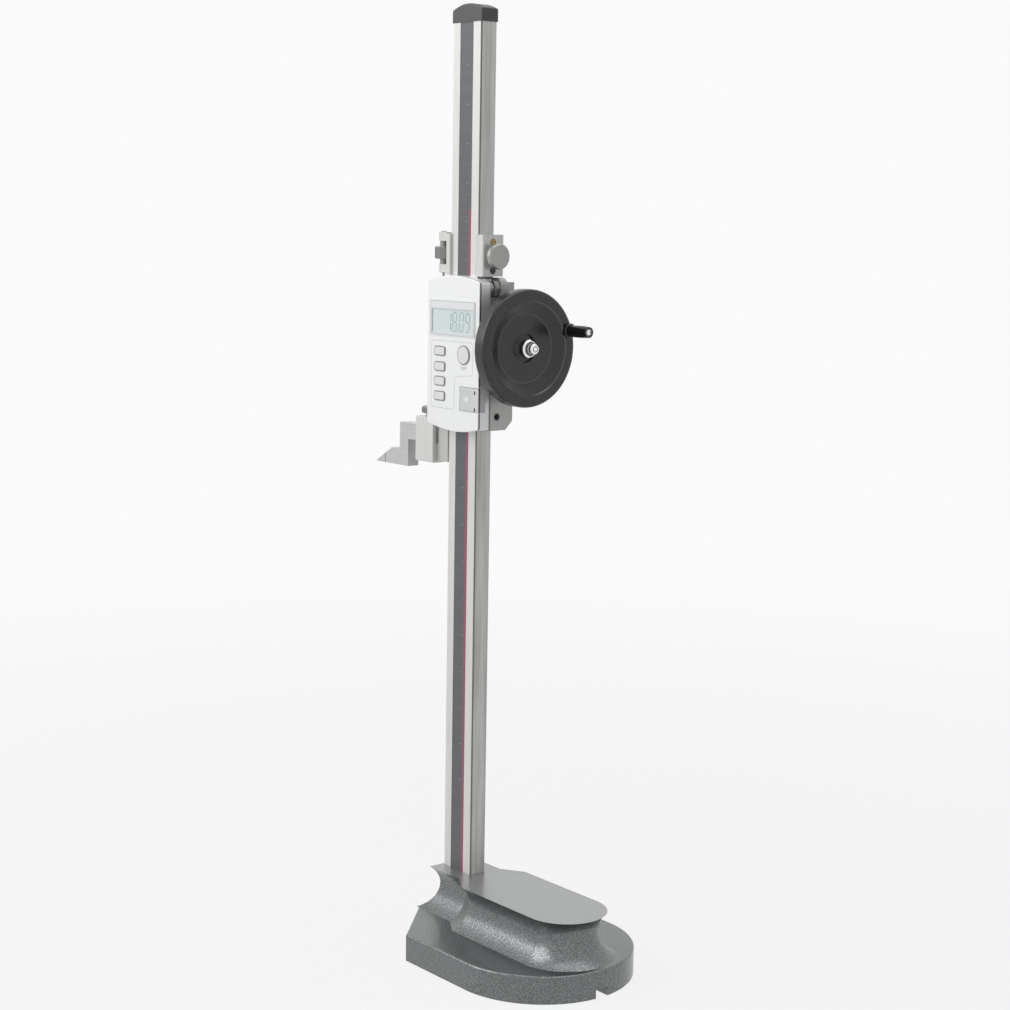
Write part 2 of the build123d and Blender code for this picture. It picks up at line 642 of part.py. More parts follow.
def make_handwheel():
    """Wheel turned in one piece: rim, dished web, hub recess and long hub."""
    rim_back, rim_front = WHEEL_RIM_X
    hub_inner = AXLE_R + SEAT
    recess_x = WHEEL_DISC_X - WHEEL_RECESS_H
    profile = [
        (hub_inner, WHEEL_HUB_X), (WHEEL_HUB_R, WHEEL_HUB_X), (WHEEL_BACK_R[0], WHEEL_BACK_X),
        (WHEEL_BACK_R[1], WHEEL_BACK_X), (WHEEL_BACK_R[2], rim_back), (WHEEL_R, rim_back),
        (WHEEL_R, rim_front), (WHEEL_RIM_IN_R + WHEEL_RIM_LIP, rim_front), (WHEEL_RIM_IN_R, WHEEL_RIM_IN_X),
        (WHEEL_DISC_R, WHEEL_DISC_X), (WHEEL_RECESS_R, WHEEL_DISC_X), (WHEEL_RECESS_R, recess_x),
        (hub_inner, recess_x),
    ]
    face = Plane.XZ * Polygon(*[(x, r) for r, x in profile], align=None)
    wheel = revolve(face, Axis.X, 360)
    rim = [e for e in wheel.edges().filter_by(GeomType.CIRCLE) if abs(e.radius - WHEEL_R) < 0.01]
    wheel = Pos(0, AXLE_Y, AXLE_Z) * fillet(rim, WHEEL_EDGE_R)
    depth = rim_front - HANDLE_ROOT_X
    hole = rod(HANDLE_SCREW_R + SEAT, (HANDLE_ROOT_X, HANDLE_Y, HANDLE_Z), depth, "X")
    return wheel - hole


def make_wheel_nut():
    """Collar nut with a small domed end over the axle thread."""
    nut = rod(NUT_R, (NUT_X[0], AXLE_Y, AXLE_Z), NUT_X[1] - NUT_X[0], "X")
    nut = chamfer(nut.edges().sort_by(Axis.X)[-1], NUT_EDGE)
    nub = rod(NUT_CAP_R, (NUT_X[1], AXLE_Y, AXLE_Z), NUT_CAP_X - NUT_X[1], "X")
    nub = fillet(nub.edges().sort_by(Axis.X)[-1], NUT_CAP_EDGE_R)
    bore = rod(THREAD_R + SEAT, (NUT_X[0], AXLE_Y, AXLE_Z), AXLE_X[1] - NUT_X[0] + SEAT, "X")
    return nut + nub - bore


def make_handle_collar():
    """Black collar between the rim and the turning grip."""
    low, high = HANDLE_COLLAR_X
    collar = rod(HANDLE_COLLAR_R, (low, HANDLE_Y, HANDLE_Z), high - low, "X")
    collar = chamfer(collar.edges().sort_by(Axis.X)[-1], EDGE)
    return collar - rod(HANDLE_SCREW_R + SEAT, (low, HANDLE_Y, HANDLE_Z), high - low, "X")


def make_handle_screw():
    """Long slotted screw on which the grip turns, its head sunk in the end of the grip."""
    low, high = HANDLE_HEAD_X
    pin = rod(HANDLE_SCREW_R, (HANDLE_ROOT_X, HANDLE_Y, HANDLE_Z), low - HANDLE_ROOT_X, "X")
    head = rod(HANDLE_HEAD_R, (low, HANDLE_Y, HANDLE_Z), high - low, "X")
    slot_y = (HANDLE_Y - HANDLE_HEAD_R, HANDLE_Y + HANDLE_HEAD_R)
    slot_z = (HANDLE_Z - SLOT_HALF, HANDLE_Z + SLOT_HALF)
    return pin + head - block((high - SLOT_DEPTH, high), slot_y, slot_z)


def make_handle_grip():
    """Turning sleeve of the crank handle, slightly barrelled."""
    x0, x1 = GRIP_X
    inner = HANDLE_SCREW_R + SHAFT_GAP
    sink_r = HANDLE_HEAD_R + HANDLE_HEAD_GAP
    sink_x = HANDLE_HEAD_X[0] - RUN
    with BuildLine() as line:
        Polyline((x1, GRIP_END_R), (x1, sink_r), (sink_x, sink_r), (sink_x, inner),
                 (x0, inner), (x0, GRIP_END_R))
        ThreePointArc((x0, GRIP_END_R), ((x0 + x1) / 2, GRIP_R), (x1, GRIP_END_R))
    return Pos(0, HANDLE_Y, HANDLE_Z) * revolve(Plane.XZ * make_face(line.line), Axis.X, 360)


# ---------------------------------------------------------------- slider and drive housing

def make_slider_body():
    """Front half of the slide round the column, with the fixed jaw on its left."""
    left, right = SIDE_X
    body = block((left, right), (SLIDER_FRONT_Y, PLATE_BACK_Y), PLATE_Z)
    body += block((left, right), (PLATE_BACK_Y, SPLIT_Y), SLIDER_Z)
    body += block((ROOT_X[0], left), (-ARM_Y, ARM_Y), ROOT_Z)
    body += block(ROOT_X, (-ARM_Y, ARM_Y), (ROOT_Z[0], SLIDER_Z[0]))
    body += block((JAW_LEFT_X, ROOT_X[0]), (-ARM_Y, ARM_Y), (ROOT_Z[0], JAW_TOP_Z))
    body += block(STEM_X, STEM_Y, STEM_Z)
    body -= rod(FINE_PIN_R + SEAT, (FINE_X, FINE_Y, FINE_PIN_Z), STEM_Z[1] - FINE_PIN_Z)
    body += rod(EAR_R, (ROLLER_X, EAR_FRONT_Y, ROLLER_Z), POCKET_Y[0] - EAR_FRONT_Y, "Y")
    body -= block((-WALL, WALL), (-COL_D / 2 - RUN, COL_D), (SLIDER_Z[0], COL_TOP))
    body -= block((WALL - OVER, EAR_X), POCKET_Y, (POCKET_Z, COL_TOP))
    pin_low = ROLLER_PIN_Y[0]
    body -= rod(ROLLER_PIN_R + SEAT, (ROLLER_X, pin_low, ROLLER_Z), POCKET_Y[0] - pin_low, "Y")
    body -= block((right - EDGE_LINE_DEPTH, right), EDGE_LINE_Y, (SLIDER_Z[0], POCKET_Z))
    body -= block(SENSOR_X, (SLIDER_FRONT_Y, 0), SENSOR_Z)
    body -= block((-WALL - GIB_T - SEAT, -WALL + OVER), GIB_Y, GIB_Z)
    for z in GIB_SCREW_Z:
        body -= rod(GIB_SCREW_R + SEAT, (left, GIB_SCREW_Y, z), -WALL - left, "X")
    for z in JOIN_SCREW_Z:
        for x in JOIN_SCREW_X:
            body -= rod(SMALL_R + SEAT, (x, JOIN_TIP_Y, z), SPLIT_Y - JOIN_TIP_Y, "Y")
    head_y = face_head_y()
    for x, z in face_screw_places():
        body -= rod(SMALL_R + SEAT, (x, SLIDER_FRONT_Y, z), head_y - SLIDER_FRONT_Y, "Y")
        body -= rod(SMALL_HEAD_R + SEAT, (x, head_y, z), SMALL_HEAD_T + OVER, "Y")
    return body


def face_screw_places():
    """Four screws that hold the display head on the slider."""
    return [(x, z) for z in FACE_SCREW_Z for x in (-FACE_SCREW_X, FACE_SCREW_X)]


def face_head_y():
    """Underside of the heads of the display screws, just below the running face."""
    return -COL_D / 2 - RUN - FACE_SCREW_SINK - SMALL_HEAD_T


def make_gib_strip():
    """Brass wear strip on the left edge of the column."""
    y = (GIB_Y[0] + SEAT, GIB_Y[1] - SEAT)
    z = (GIB_Z[0] + SEAT, GIB_Z[1] - SEAT)
    return block((-WALL - GIB_T, -WALL), y, z)


def make_gib_screws():
    """Set screws behind the wear strip and one in the right wall."""
    tip = -WALL - GIB_T - SEAT
    screws = []
    for z in GIB_SCREW_Z:
        body = rod(GIB_SCREW_R, (GIB_SCREW_X, GIB_SCREW_Y, z), tip - GIB_SCREW_X, "X")
        slot_y = (GIB_SCREW_Y - GIB_SCREW_R, GIB_SCREW_Y + GIB_SCREW_R)
        slot_x = (GIB_SCREW_X, GIB_SCREW_X + SLOT_DEPTH)
        screws.append(body - block(slot_x, slot_y, (z - SLOT_HALF, z + SLOT_HALF)))
    low, high = SIDE_SCREW_X
    body = rod(SIDE_SCREW_R, (low, SIDE_SCREW_Y, SIDE_SCREW_Z), high - low, "X")
    hexagon = Plane.YZ * RegularPolygon(SIDE_SOCKET_R, 6, major_radius=False)
    socket = Pos(high - SIDE_SOCKET_H, SIDE_SCREW_Y, SIDE_SCREW_Z) * extrude(hexagon, SIDE_SOCKET_H)
    screws.append(body - socket)
    return Compound(children=screws)


def make_drive_housing():
    """Rear half of the slide: walls beside the column and the box for pinion and axle."""
    left, right = SIDE_X
    body = block((left, right), (SPLIT_Y, HOUSING_BACK_Y), (SLIDER_Z[0], HOUSING_TOP_Z))
    corner = [(HOUSING_BACK_Y, SLIDER_Z[0]), (HOUSING_BACK_Y, SLIDER_Z[0] + HOUSING_CHAMFER),
              (HOUSING_BACK_Y - HOUSING_CHAMFER, SLIDER_Z[0])]
    body -= extrude(Plane.YZ * Polygon(*corner, align=None), right + OVER, both=True)
    ear = block((WALL, EAR_X), (POCKET_Y[1], EAR_BACK_Y), (POCKET_Z, EAR_TOP_Z))
    outer = ear.edges().filter_by(Axis.Y).sort_by(lambda e: -e.center().X - e.center().Z)[0]
    body += fillet(outer, EAR_CORNER_R)
    body -= block((-WALL, WALL), (0, COL_D / 2 + RUN), (0, COL_TOP))
    body -= block((WALL - OVER, EAR_X), (0, POCKET_Y[1]), (POCKET_Z, COL_TOP))
    body -= rod(ROLLER_PIN_R + SEAT, (ROLLER_X, 0, ROLLER_Z), ROLLER_PIN_Y[1], "Y")
    room_z = (AXLE_Z - PINION_ROOM_Z, AXLE_Z + PINION_ROOM_Z)
    body -= block((-PINION_ROOM_X, PINION_ROOM_X), (0, HOUSING_BACK_Y), room_z)
    body -= rod(AXLE_R + AXLE_CLEAR, (left, AXLE_Y, AXLE_Z), right - left, "X")
    (left_low, left_high), (right_low, right_high) = BUSH_X
    body -= rod(BUSH_R + SEAT, (left, AXLE_Y, AXLE_Z), left_high - left, "X")
    body -= rod(BUSH_R + SEAT, (right_low, AXLE_Y, AXLE_Z), right - right_low, "X")
    for z in JOIN_SCREW_Z:
        for x in JOIN_SCREW_X:
            body -= rod(SMALL_R + SEAT, (x, 0, z), HOUSING_BACK_Y, "Y")
            body -= rod(SMALL_HEAD_R + SEAT, (x, HOUSING_BACK_Y - JOIN_SINK, z), JOIN_SINK, "Y")
    tip_y = COVER_SCREW_TIP_Y
    for x, z in cover_screw_places():
        body -= rod(SMALL_R + SEAT, (x, tip_y, z), HOUSING_BACK_Y - tip_y, "Y")
    low = SIDE_SCREW_X[0]
    body -= rod(SIDE_SCREW_R + SEAT, (low, SIDE_SCREW_Y, SIDE_SCREW_Z), right - low, "X")
    return body


def cover_screw_places():
    """Four corners of the back cover."""
    side = COVER_HALF_X - COVER_SCREW_INSET[0]
    rows = (COVER_Z[0] + COVER_SCREW_INSET[1], COVER_Z[1] - COVER_SCREW_INSET[1])
    return [(x, z) for x in (-side, side) for z in rows]


def slotted_screw(x, z, head_y, tip_y, head_t):
    """Cheese-head screw along Y with its head towards the back."""
    head = rod(SMALL_HEAD_R, (x, head_y, z), head_t, "Y")
    top = head_y + head_t
    slot_x = (x - SMALL_HEAD_R, x + SMALL_HEAD_R)
    head -= block(slot_x, (top - SLOT_DEPTH, top), (z - SLOT_HALF, z + SLOT_HALF))
    return head + rod(SMALL_R, (x, tip_y, z), head_y - tip_y, "Y")


def make_join_screws():
    head_y = HOUSING_BACK_Y - JOIN_SINK
    places = [(x, z) for x in JOIN_SCREW_X for z in JOIN_SCREW_Z]
    return Compound(children=[slotted_screw(x, z, head_y, JOIN_TIP_Y, JOIN_HEAD_T)
                              for x, z in places])


def make_drive_cover():
    """Back plate with eased edges that closes the pinion room."""
    half = COVER_HALF_X
    plate = block((-half, half), (HOUSING_BACK_Y, HOUSING_BACK_Y + COVER_T), COVER_Z)
    plate = fillet(plate.edges().filter_by(Axis.Y), COVER_CORNER_R)
    plate = chamfer(plate.faces().sort_by(Axis.Y)[-1].edges(), EDGE)
    for x, z in cover_screw_places():
        plate -= rod(SMALL_R + SEAT, (x, HOUSING_BACK_Y, z), COVER_T, "Y")
        head_y = HOUSING_BACK_Y + COVER_T - SMALL_HEAD_T
        plate -= rod(SMALL_HEAD_R + SEAT, (x, head_y, z), SMALL_HEAD_T, "Y")
    return plate


def make_cover_screws():
    head_y = HOUSING_BACK_Y + COVER_T - SMALL_HEAD_T
    tip = COVER_SCREW_TIP_Y
    return Compound(children=[slotted_screw(x, z, head_y, tip, SMALL_HEAD_T)
                              for x, z in cover_screw_places()])


def make_display_screws():
    """Screws from the running face of the slider into the bosses of the display housing."""
    return Compound(children=[slotted_screw(x, z, face_head_y(), FACE_SCREW_TIP_Y, SMALL_HEAD_T)
                              for x, z in face_screw_places()])


def make_axle_bushes():
    """Bronze bushes on both sides of the column."""
    bushes = []
    for low, high in BUSH_X:
        ring = rod(BUSH_R, (low, AXLE_Y, AXLE_Z), high - low, "X")
        bushes.append(ring - rod(AXLE_R + SHAFT_GAP, (low, AXLE_Y, AXLE_Z), high - low, "X"))
    return Compound(children=bushes)


def make_roller_pin():
    low, high = ROLLER_PIN_Y
    return rod(ROLLER_PIN_R, (ROLLER_X, low, ROLLER_Z), high - low, "Y")


def make_thumb_roller():
    """Small wheel that runs on the right edge of the column."""
    low, high = ROLLER_Y
    wheel = rod(ROLLER_R, (ROLLER_X, low, ROLLER_Z), high - low, "Y")
    wheel = chamfer(wheel.edges().filter_by(GeomType.CIRCLE), ROLLER_EDGE)
    return wheel - rod(ROLLER_PIN_R + SHAFT_GAP, (ROLLER_X, low, ROLLER_Z), high - low, "Y")


def make_fine_screw():
    """Fine-adjustment screw that stands on a thin pin in the stem of the slider."""
    low, high = FINE_Z
    body = rod(FINE_R, (FINE_X, FINE_Y, low), high - low)
    body = chamfer(body.edges().sort_by(Axis.Z)[-1], FINE_EDGE)
    return body + rod(FINE_PIN_R, (FINE_X, FINE_Y, FINE_PIN_Z), low - FINE_PIN_Z)


def make_sensor_board():
    """Reading head that faces the strip through the slider."""
    x = (SENSOR_X[0] + SEAT, SENSOR_X[1] - SEAT)
    z = (SENSOR_Z[0] + SEAT, SENSOR_Z[1] - SEAT)
    return block(x, SENSOR_Y, z)


# ---------------------------------------------------------------- display head

def head_outline(inset):
    """Front outline of the display head with bowed ends, drawn in by `inset`."""
    half = HEAD_HALF_X - inset
    side_top, peak = HEAD_TOP_Z
    low_left, low_mid, low_right = HEAD_LOW_Z
    with BuildLine() as line:
        top_left, top_right = (-half, side_top - inset), (half, side_top - inset)
        ThreePointArc(top_left, (0, peak - inset), top_right)
        bottom_right, bottom_left = (half, low_right + inset), (-half, low_left + inset)
        Line(top_right, bottom_right)
        ThreePointArc(bottom_right, (0, low_mid + inset), bottom_left)
        Line(bottom_left, top_left)
    return Plane.XZ * make_face(line.line)


def head_slab(inset, y, corner):
    """Slice of the head between two Y limits, drawn in by `inset`."""
    slab = Pos(0, y[1], 0) * extrude(head_outline(inset), y[1] - y[0])
    return fillet(slab.edges().filter_by(Axis.Y), corner)


def head_line():
    """Parting line all round the head, just behind its front edge."""
    inner = head_slab(HEAD_LINE_DEPTH, HEAD_LINE_Y, HEAD_CORNER_R - HEAD_LINE_DEPTH)
    return head_slab(-OVER, HEAD_LINE_Y, HEAD_CORNER_R) - inner


def key_face(width, height, corner):
    """Rounded rectangle that faces the front."""
    return Plane.XZ * RectangleRounded(width, height, corner)


def make_display_housing():
    """Moulded shell, open at the back, with bosses that rest on the slider."""
    front, back = HEAD_Y
    wall_y = front + HEAD_WALL
    body = head_slab(0, HEAD_Y, HEAD_CORNER_R)
    body = fillet(body.faces().sort_by(Axis.Y)[0].edges(), HEAD_EDGE_R)
    body -= Pos(0, back, 0) * extrude(head_outline(HEAD_WALL), back - wall_y)
    body -= head_line()
    hole_y = FACE_SCREW_TIP_Y - BOSS_HOLE_CLEAR
    for x, z in face_screw_places():
        body += rod(BOSS_R, (x, wall_y, z), SLIDER_FRONT_Y - wall_y, "Y")
        body -= rod(SMALL_R + SEAT, (x, hole_y, z), SLIDER_FRONT_Y - hole_y, "Y")
    body -= block(LCD_X, (front, wall_y), LCD_Z)
    for z in KEY_Z:
        face = key_face(KEY_SIZE[0] + 2 * KEY_GAP, KEY_SIZE[1] + 2 * KEY_GAP, KEY_CORNER_R + KEY_GAP)
        body -= Pos(KEY_X, wall_y, z) * extrude(face, HEAD_WALL)
    body -= rod(POWER_R + KEY_GAP, (POWER_X, front, POWER_Z), HEAD_WALL, "Y")
    body -= block((DOOR_X, HEAD_HALF_X), (front, wall_y), DOOR_Z)
    body -= block((HEAD_HALF_X - HEAD_WALL, HEAD_HALF_X), (front, DOOR_WRAP_Y), DOOR_Z)
    tongue_z = (DOOR_Z[0] - DOOR_TONGUE - DOOR_GAP, DOOR_Z[1] + DOOR_TONGUE + DOOR_GAP)
    tongue_y = (DOOR_TONGUE_Y[0] - DOOR_GAP, DOOR_TONGUE_Y[1] + DOOR_GAP)
    body -= block((DOOR_X, HEAD_HALF_X), tongue_y, tongue_z)
    port_y = (PORT_Y[0] - DOOR_GAP, PORT_Y[1] + DOOR_GAP)
    port_z = (PORT_Z[0] - DOOR_GAP, PORT_Z[1] + DOOR_GAP)
    body -= block((-HEAD_HALF_X, -HEAD_HALF_X + HEAD_WALL), port_y, port_z)
    return body


def make_lcd_panel():
    """Display module whose face fills the window."""
    front = HEAD_Y[0] + LCD_RECESS
    wall_y = HEAD_Y[0] + HEAD_WALL
    x = (LCD_X[0] + SEAT, LCD_X[1] - SEAT)
    z = (LCD_Z[0] + SEAT, LCD_Z[1] - SEAT)
    return block(x, (front, wall_y), z) + block(LCD_BACK_X, (wall_y, BOARD_Y[0]), LCD_BACK_Z)


def make_lcd_bezel():
    """Thin frame stuck on the front round the window."""
    front = HEAD_Y[0]
    width, height = BEZEL_X[1] - BEZEL_X[0], BEZEL_Z[1] - BEZEL_Z[0]
    face = key_face(width, height, BEZEL_CORNER_R)
    frame = Pos(sum(BEZEL_X) / 2, front, sum(BEZEL_Z) / 2) * extrude(face, BEZEL_T)
    return frame - block(LCD_X, (front - BEZEL_T, front), LCD_Z)


def make_key(z):
    """Rounded key with a flange behind the front wall."""
    inner = HEAD_Y[0] + HEAD_WALL + RUN
    cap = key_face(*KEY_SIZE, KEY_CORNER_R)
    body = Pos(KEY_X, inner, z) * extrude(cap, inner - HEAD_Y[0] + KEY_PROUD)
    body = fillet(body.faces().sort_by(Axis.Y)[0].edges(), KEY_EDGE_R)
    wide = key_face(KEY_SIZE[0] + 2 * KEY_FLANGE, KEY_SIZE[1] + 2 * KEY_FLANGE, KEY_CORNER_R)
    return body + Pos(KEY_X, inner + KEY_FLANGE_T, z) * extrude(wide, KEY_FLANGE_T)


def make_power_key():
    wall_y = HEAD_Y[0] + HEAD_WALL
    front = HEAD_Y[0] - KEY_PROUD
    body = rod(POWER_R, (POWER_X, front, POWER_Z), wall_y + RUN - front, "Y")
    body = fillet(body.edges().sort_by(Axis.Y)[0], KEY_EDGE_R)
    return body + rod(POWER_R + KEY_FLANGE, (POWER_X, wall_y + RUN, POWER_Z), KEY_FLANGE_T, "Y")


def make_circuit_board():
    """Board on the front of the slider, cut away round the battery, with the data socket."""
    body = block(BOARD_X, BOARD_Y, BOARD_TOP_Z) + block(BOARD_LOW_X, BOARD_Y, BOARD_LOW_Z)
    socket = block(SOCKET_X, (PORT_Y[0], BOARD_Y[0]), PORT_Z)
    return body + socket


def make_switch_domes():
    """Switch domes on the board behind the five keys."""
    places = [(KEY_X, z) for z in KEY_Z] + [(POWER_X, POWER_Z)]
    start = BOARD_Y[0] - SWITCH_T
    domes = [rod(SWITCH_R, (x, start, z), SWITCH_T, "Y") for x, z in places]
    return Compound(children=[chamfer(d.edges().sort_by(Axis.Y)[0], SWITCH_EDGE) for d in domes])


def make_battery():
    low, high = BATTERY_Y
    cell = rod(BATTERY_R, (BATTERY_X, low, BATTERY_Z), high - low, "Y")
    return chamfer(cell.edges().filter_by(GeomType.CIRCLE), BATTERY_EDGE)


def make_battery_tray():
    low, high = TRAY_Y
    ring = rod(TRAY_R, (BATTERY_X, low, BATTERY_Z), high - low, "Y")
    ring -= rod(BATTERY_R + SEAT, (BATTERY_X, low, BATTERY_Z), high - low, "Y")
    z = (BATTERY_Z - CONTACT_HALF_Z - SEAT, BATTERY_Z + CONTACT_HALF_Z + SEAT)
    return ring - block((BATTERY_X - TRAY_R, BATTERY_X + TRAY_R), (high - CONTACT_T, high), z)


def make_battery_contact():
    """Spring strip behind the cell."""
    high = TRAY_Y[1]
    z = (BATTERY_Z - CONTACT_HALF_Z, BATTERY_Z + CONTACT_HALF_Z)
    strip = block(CONTACT_X, (high - CONTACT_T + SEAT, high), z)
    return strip + block(CONTACT_BUMP, (BATTERY_Y[1], high - CONTACT_T + SEAT), z)


def make_battery_door():
    """Sliding cover with side tongues, returned round the right side of the head."""
    front = HEAD_Y[0]
    right = HEAD_HALF_X
    z = (DOOR_Z[0] + DOOR_GAP, DOOR_Z[1] - DOOR_GAP)
    body = block((DOOR_X + DOOR_GAP, right), (front, front + DOOR_T), z)
    body += block((right - DOOR_WRAP_T, right), (front, DOOR_WRAP_Y - DOOR_GAP), z)
    outer = body.edges().filter_by(Axis.Z).group_by(Axis.X)[-1].sort_by(Axis.Y)[0]
    body = fillet(outer, HEAD_EDGE_R) - head_line()
    tongue_z = (DOOR_Z[0] - DOOR_TONGUE, DOOR_Z[1] + DOOR_TONGUE)
    body += block((DOOR_X + DOOR_GAP, right - HEAD_WALL), DOOR_TONGUE_Y, tongue_z)
    return body


def make_port_cover():
    """Plug of the data socket in the left side of the head."""
    low, high = PORT_PLUG_X
    plug = block((low, high), PORT_Y, PORT_Z)
    return chamfer(plug.faces().sort_by(Axis.X)[0].edges(), PORT_PLUG_EDGE)


# ---------------------------------------------------------------- fine-adjustment clamp

def make_clamp_block():
    """Bracket round the column, open at the front, with two lugs for the fine screw."""
    left, right = CLAMP_X
    body = block(CLAMP_X, CLAMP_Y, CLAMP_Z)
    body = fillet(body.edges().filter_by(Axis.Z), CLAMP_EDGE_R)
    body -= block((-WALL, WALL), (-COL_D / 2 - RUN, COL_D / 2 + RUN), (0, COL_TOP))
    body -= block((-CLAMP_LIP_X, CLAMP_LIP_X), (CLAMP_Y[0], 0), (0, COL_TOP))
    lug_y = (FINE_Y - LUG_R + LUG_FRONT_INSET, FINE_Y + LUG_R)
    for low, high in LUG_Z:
        body += rod(LUG_R, (FINE_X, FINE_Y, low), high - low)
        body += block((FINE_X, left + CLAMP_EDGE_R), lug_y, (low, high))
        body -= rod(FINE_R + RUN, (FINE_X, FINE_Y, low), high - low)
    pocket_y = (-SHOE_HALF_Y - SEAT, SHOE_HALF_Y + SEAT)
    pocket_z = (LOCK_Z - SHOE_HALF_Z - SEAT, LOCK_Z + SHOE_HALF_Z + SEAT)
    body -= block((0, WALL + SHOE_T + SEAT), pocket_y, pocket_z)
    body -= rod(LOCK_SHANK_R + SHAFT_GAP, (0, 0, LOCK_Z), right, "X")
    low = CLAMP_SCREW_X[0]
    for z in CLAMP_SCREW_Z:
        body -= rod(CLAMP_SCREW_R + SEAT, (low, 0, z), right - low, "X")
    return body


def make_clamp_shoe():
    """Brass shoe pressed on the column by the lock screw."""
    z = (LOCK_Z - SHOE_HALF_Z, LOCK_Z + SHOE_HALF_Z)
    return block((WALL, WALL + SHOE_T), (-SHOE_HALF_Y, SHOE_HALF_Y), z)


def make_clamp_screw(z):
    """Slotted screw in the right side of the bracket."""
    low, high = CLAMP_SCREW_X
    body = rod(CLAMP_SCREW_R, (low, 0, z), high - low, "X")
    slot_y = (-CLAMP_SCREW_R, CLAMP_SCREW_R)
    return body - block((high - SLOT_DEPTH, high), slot_y, (z - SLOT_HALF, z + SLOT_HALF))


def make_lock_knob():
    """Turned lock knob: shank, collar and thin head with a shallow conical face."""
    low, high = LOCK_X
    cone_r, cone_h = LOCK_CONE
    profile = [
        (LOCK_TIP_X, 0), (LOCK_TIP_X, LOCK_SHANK_R), (LOCK_COLLAR_X, LOCK_SHANK_R),
        (LOCK_COLLAR_X, LOCK_COLLAR_R), (low, LOCK_COLLAR_R), (low, LOCK_R - LOCK_EDGE),
        (low + LOCK_EDGE, LOCK_R), (high - LOCK_EDGE, LOCK_R), (high, LOCK_R - LOCK_EDGE),
        (high, cone_r), (high - cone_h, 0),
    ]
    face = Plane.XZ * Polygon(*profile, align=None)
    return Pos(0, 0, LOCK_Z) * revolve(face, Axis.X, 360)


def make_fine_nut():
    """Thumb nut between the lugs of the bracket."""
    low, high = FINE_NUT_Z
    collar_low = LUG_Z[0][1] + RUN
    collar_high = LUG_Z[1][0] - RUN
    nut = rod(NUT_OUTER_R, (FINE_X, FINE_Y, low), high - low)
    nut = chamfer(nut.edges().filter_by(GeomType.CIRCLE), EDGE)
    nut += rod(FINE_COLLAR_R, (FINE_X, FINE_Y, collar_low), collar_high - collar_low)
    return nut - rod(FINE_R + SHAFT_GAP, (FINE_X, FINE_Y, collar_low), collar_high - collar_low)


def make_scriber_clamp():
    """Box strap round the jaw and the scriber shank."""
    arm_y = (-ARM_Y - BAR_GAP, ARM_Y + BAR_GAP)
    top_z = BLADE_TOP_Z + BAR_GAP
    body = block(BOX_X, (-BOX_Y, BOX_Y), BOX_Z)
    body = chamfer(body.edges().filter_by(Axis.X), BOX_EDGE)
    body -= block(BOX_X, arm_y, (ROOT_Z[0] - BAR_GAP, top_z))
    x = sum(BOX_X) / 2
    shoe_x = (x - BOX_SHOE_HALF - SEAT, x + BOX_SHOE_HALF + SEAT)
    body -= block(shoe_x, arm_y, (BLADE_TOP_Z, top_z + BOX_SHOE_T + SEAT))
    return body - rod(BOX_KNOB_SHANK_R + SHAFT_GAP, (x, 0, top_z), BOX_Z[1] - top_z)


def make_scriber_shoe():
    """Small pad between the clamp screw and the scriber."""
    x = sum(BOX_X) / 2
    low = BLADE_TOP_Z + BAR_GAP
    return block((x - BOX_SHOE_HALF, x + BOX_SHOE_HALF), (-ARM_Y, ARM_Y), (low, low + BOX_SHOE_T))


def make_scriber_knob():
    """Knurled clamp knob on top of the box strap."""
    x = sum(BOX_X) / 2
    low, high = BOX_KNOB_Z
    knob = rod(BOX_KNOB_R, (x, 0, low), high - low)
    knob = chamfer(knob.edges().filter_by(GeomType.CIRCLE), EDGE)
    knob += rod(BOX_KNOB_COLLAR_R, (x, 0, BOX_KNOB_COLLAR_Z), low - BOX_KNOB_COLLAR_Z)
    tip = BLADE_TOP_Z + BAR_GAP + BOX_SHOE_T + SEAT
    return knob + rod(BOX_KNOB_SHANK_R, (x, 0, tip), BOX_KNOB_COLLAR_Z - tip)


def slope_z(x):
    """Top of the sloping foot of the scriber at a given x."""
    share = (x - POINT_X) / (SLOPE_X - POINT_X)
    return POINT_BOTTOM_Z + POINT_T + share * (FOOT_TOP_Z - POINT_BOTTOM_Z - POINT_T)


def make_scriber():
    """Cranked scriber: shank, leg and sloping foot ground to an edge."""
    points = [
        (BLADE_RIGHT_X, BLADE_TOP_Z), (BLADE_LEFT_X, BLADE_TOP_Z), (BLADE_LEFT_X, FOOT_TOP_Z),
        (SLOPE_X, FOOT_TOP_Z), (CARBIDE_X, slope_z(CARBIDE_X)), (CARBIDE_X, POINT_BOTTOM_Z),
        (BLADE_LEG_X, POINT_BOTTOM_Z), (BLADE_LEG_X, BLADE_BOTTOM_Z),
        (BLADE_RIGHT_X, BLADE_BOTTOM_Z),
    ]
    body = plate_xz(points, (-ARM_Y, ARM_Y))
    top_left = body.edges().filter_by(Axis.Y).group_by(Axis.Z)[-1].sort_by(Axis.X)[0]
    return chamfer(top_left, BLADE_CORNER)


def make_carbide_tip():
    """Carbide point brazed on the foot."""
    points = [
        (CARBIDE_X, slope_z(CARBIDE_X)), (POINT_X, slope_z(POINT_X)),
        (POINT_X, POINT_BOTTOM_Z), (CARBIDE_X, POINT_BOTTOM_Z),
    ]
    return plate_xz(points, (-ARM_Y, ARM_Y))


# ---------------------------------------------------------------- all pieces

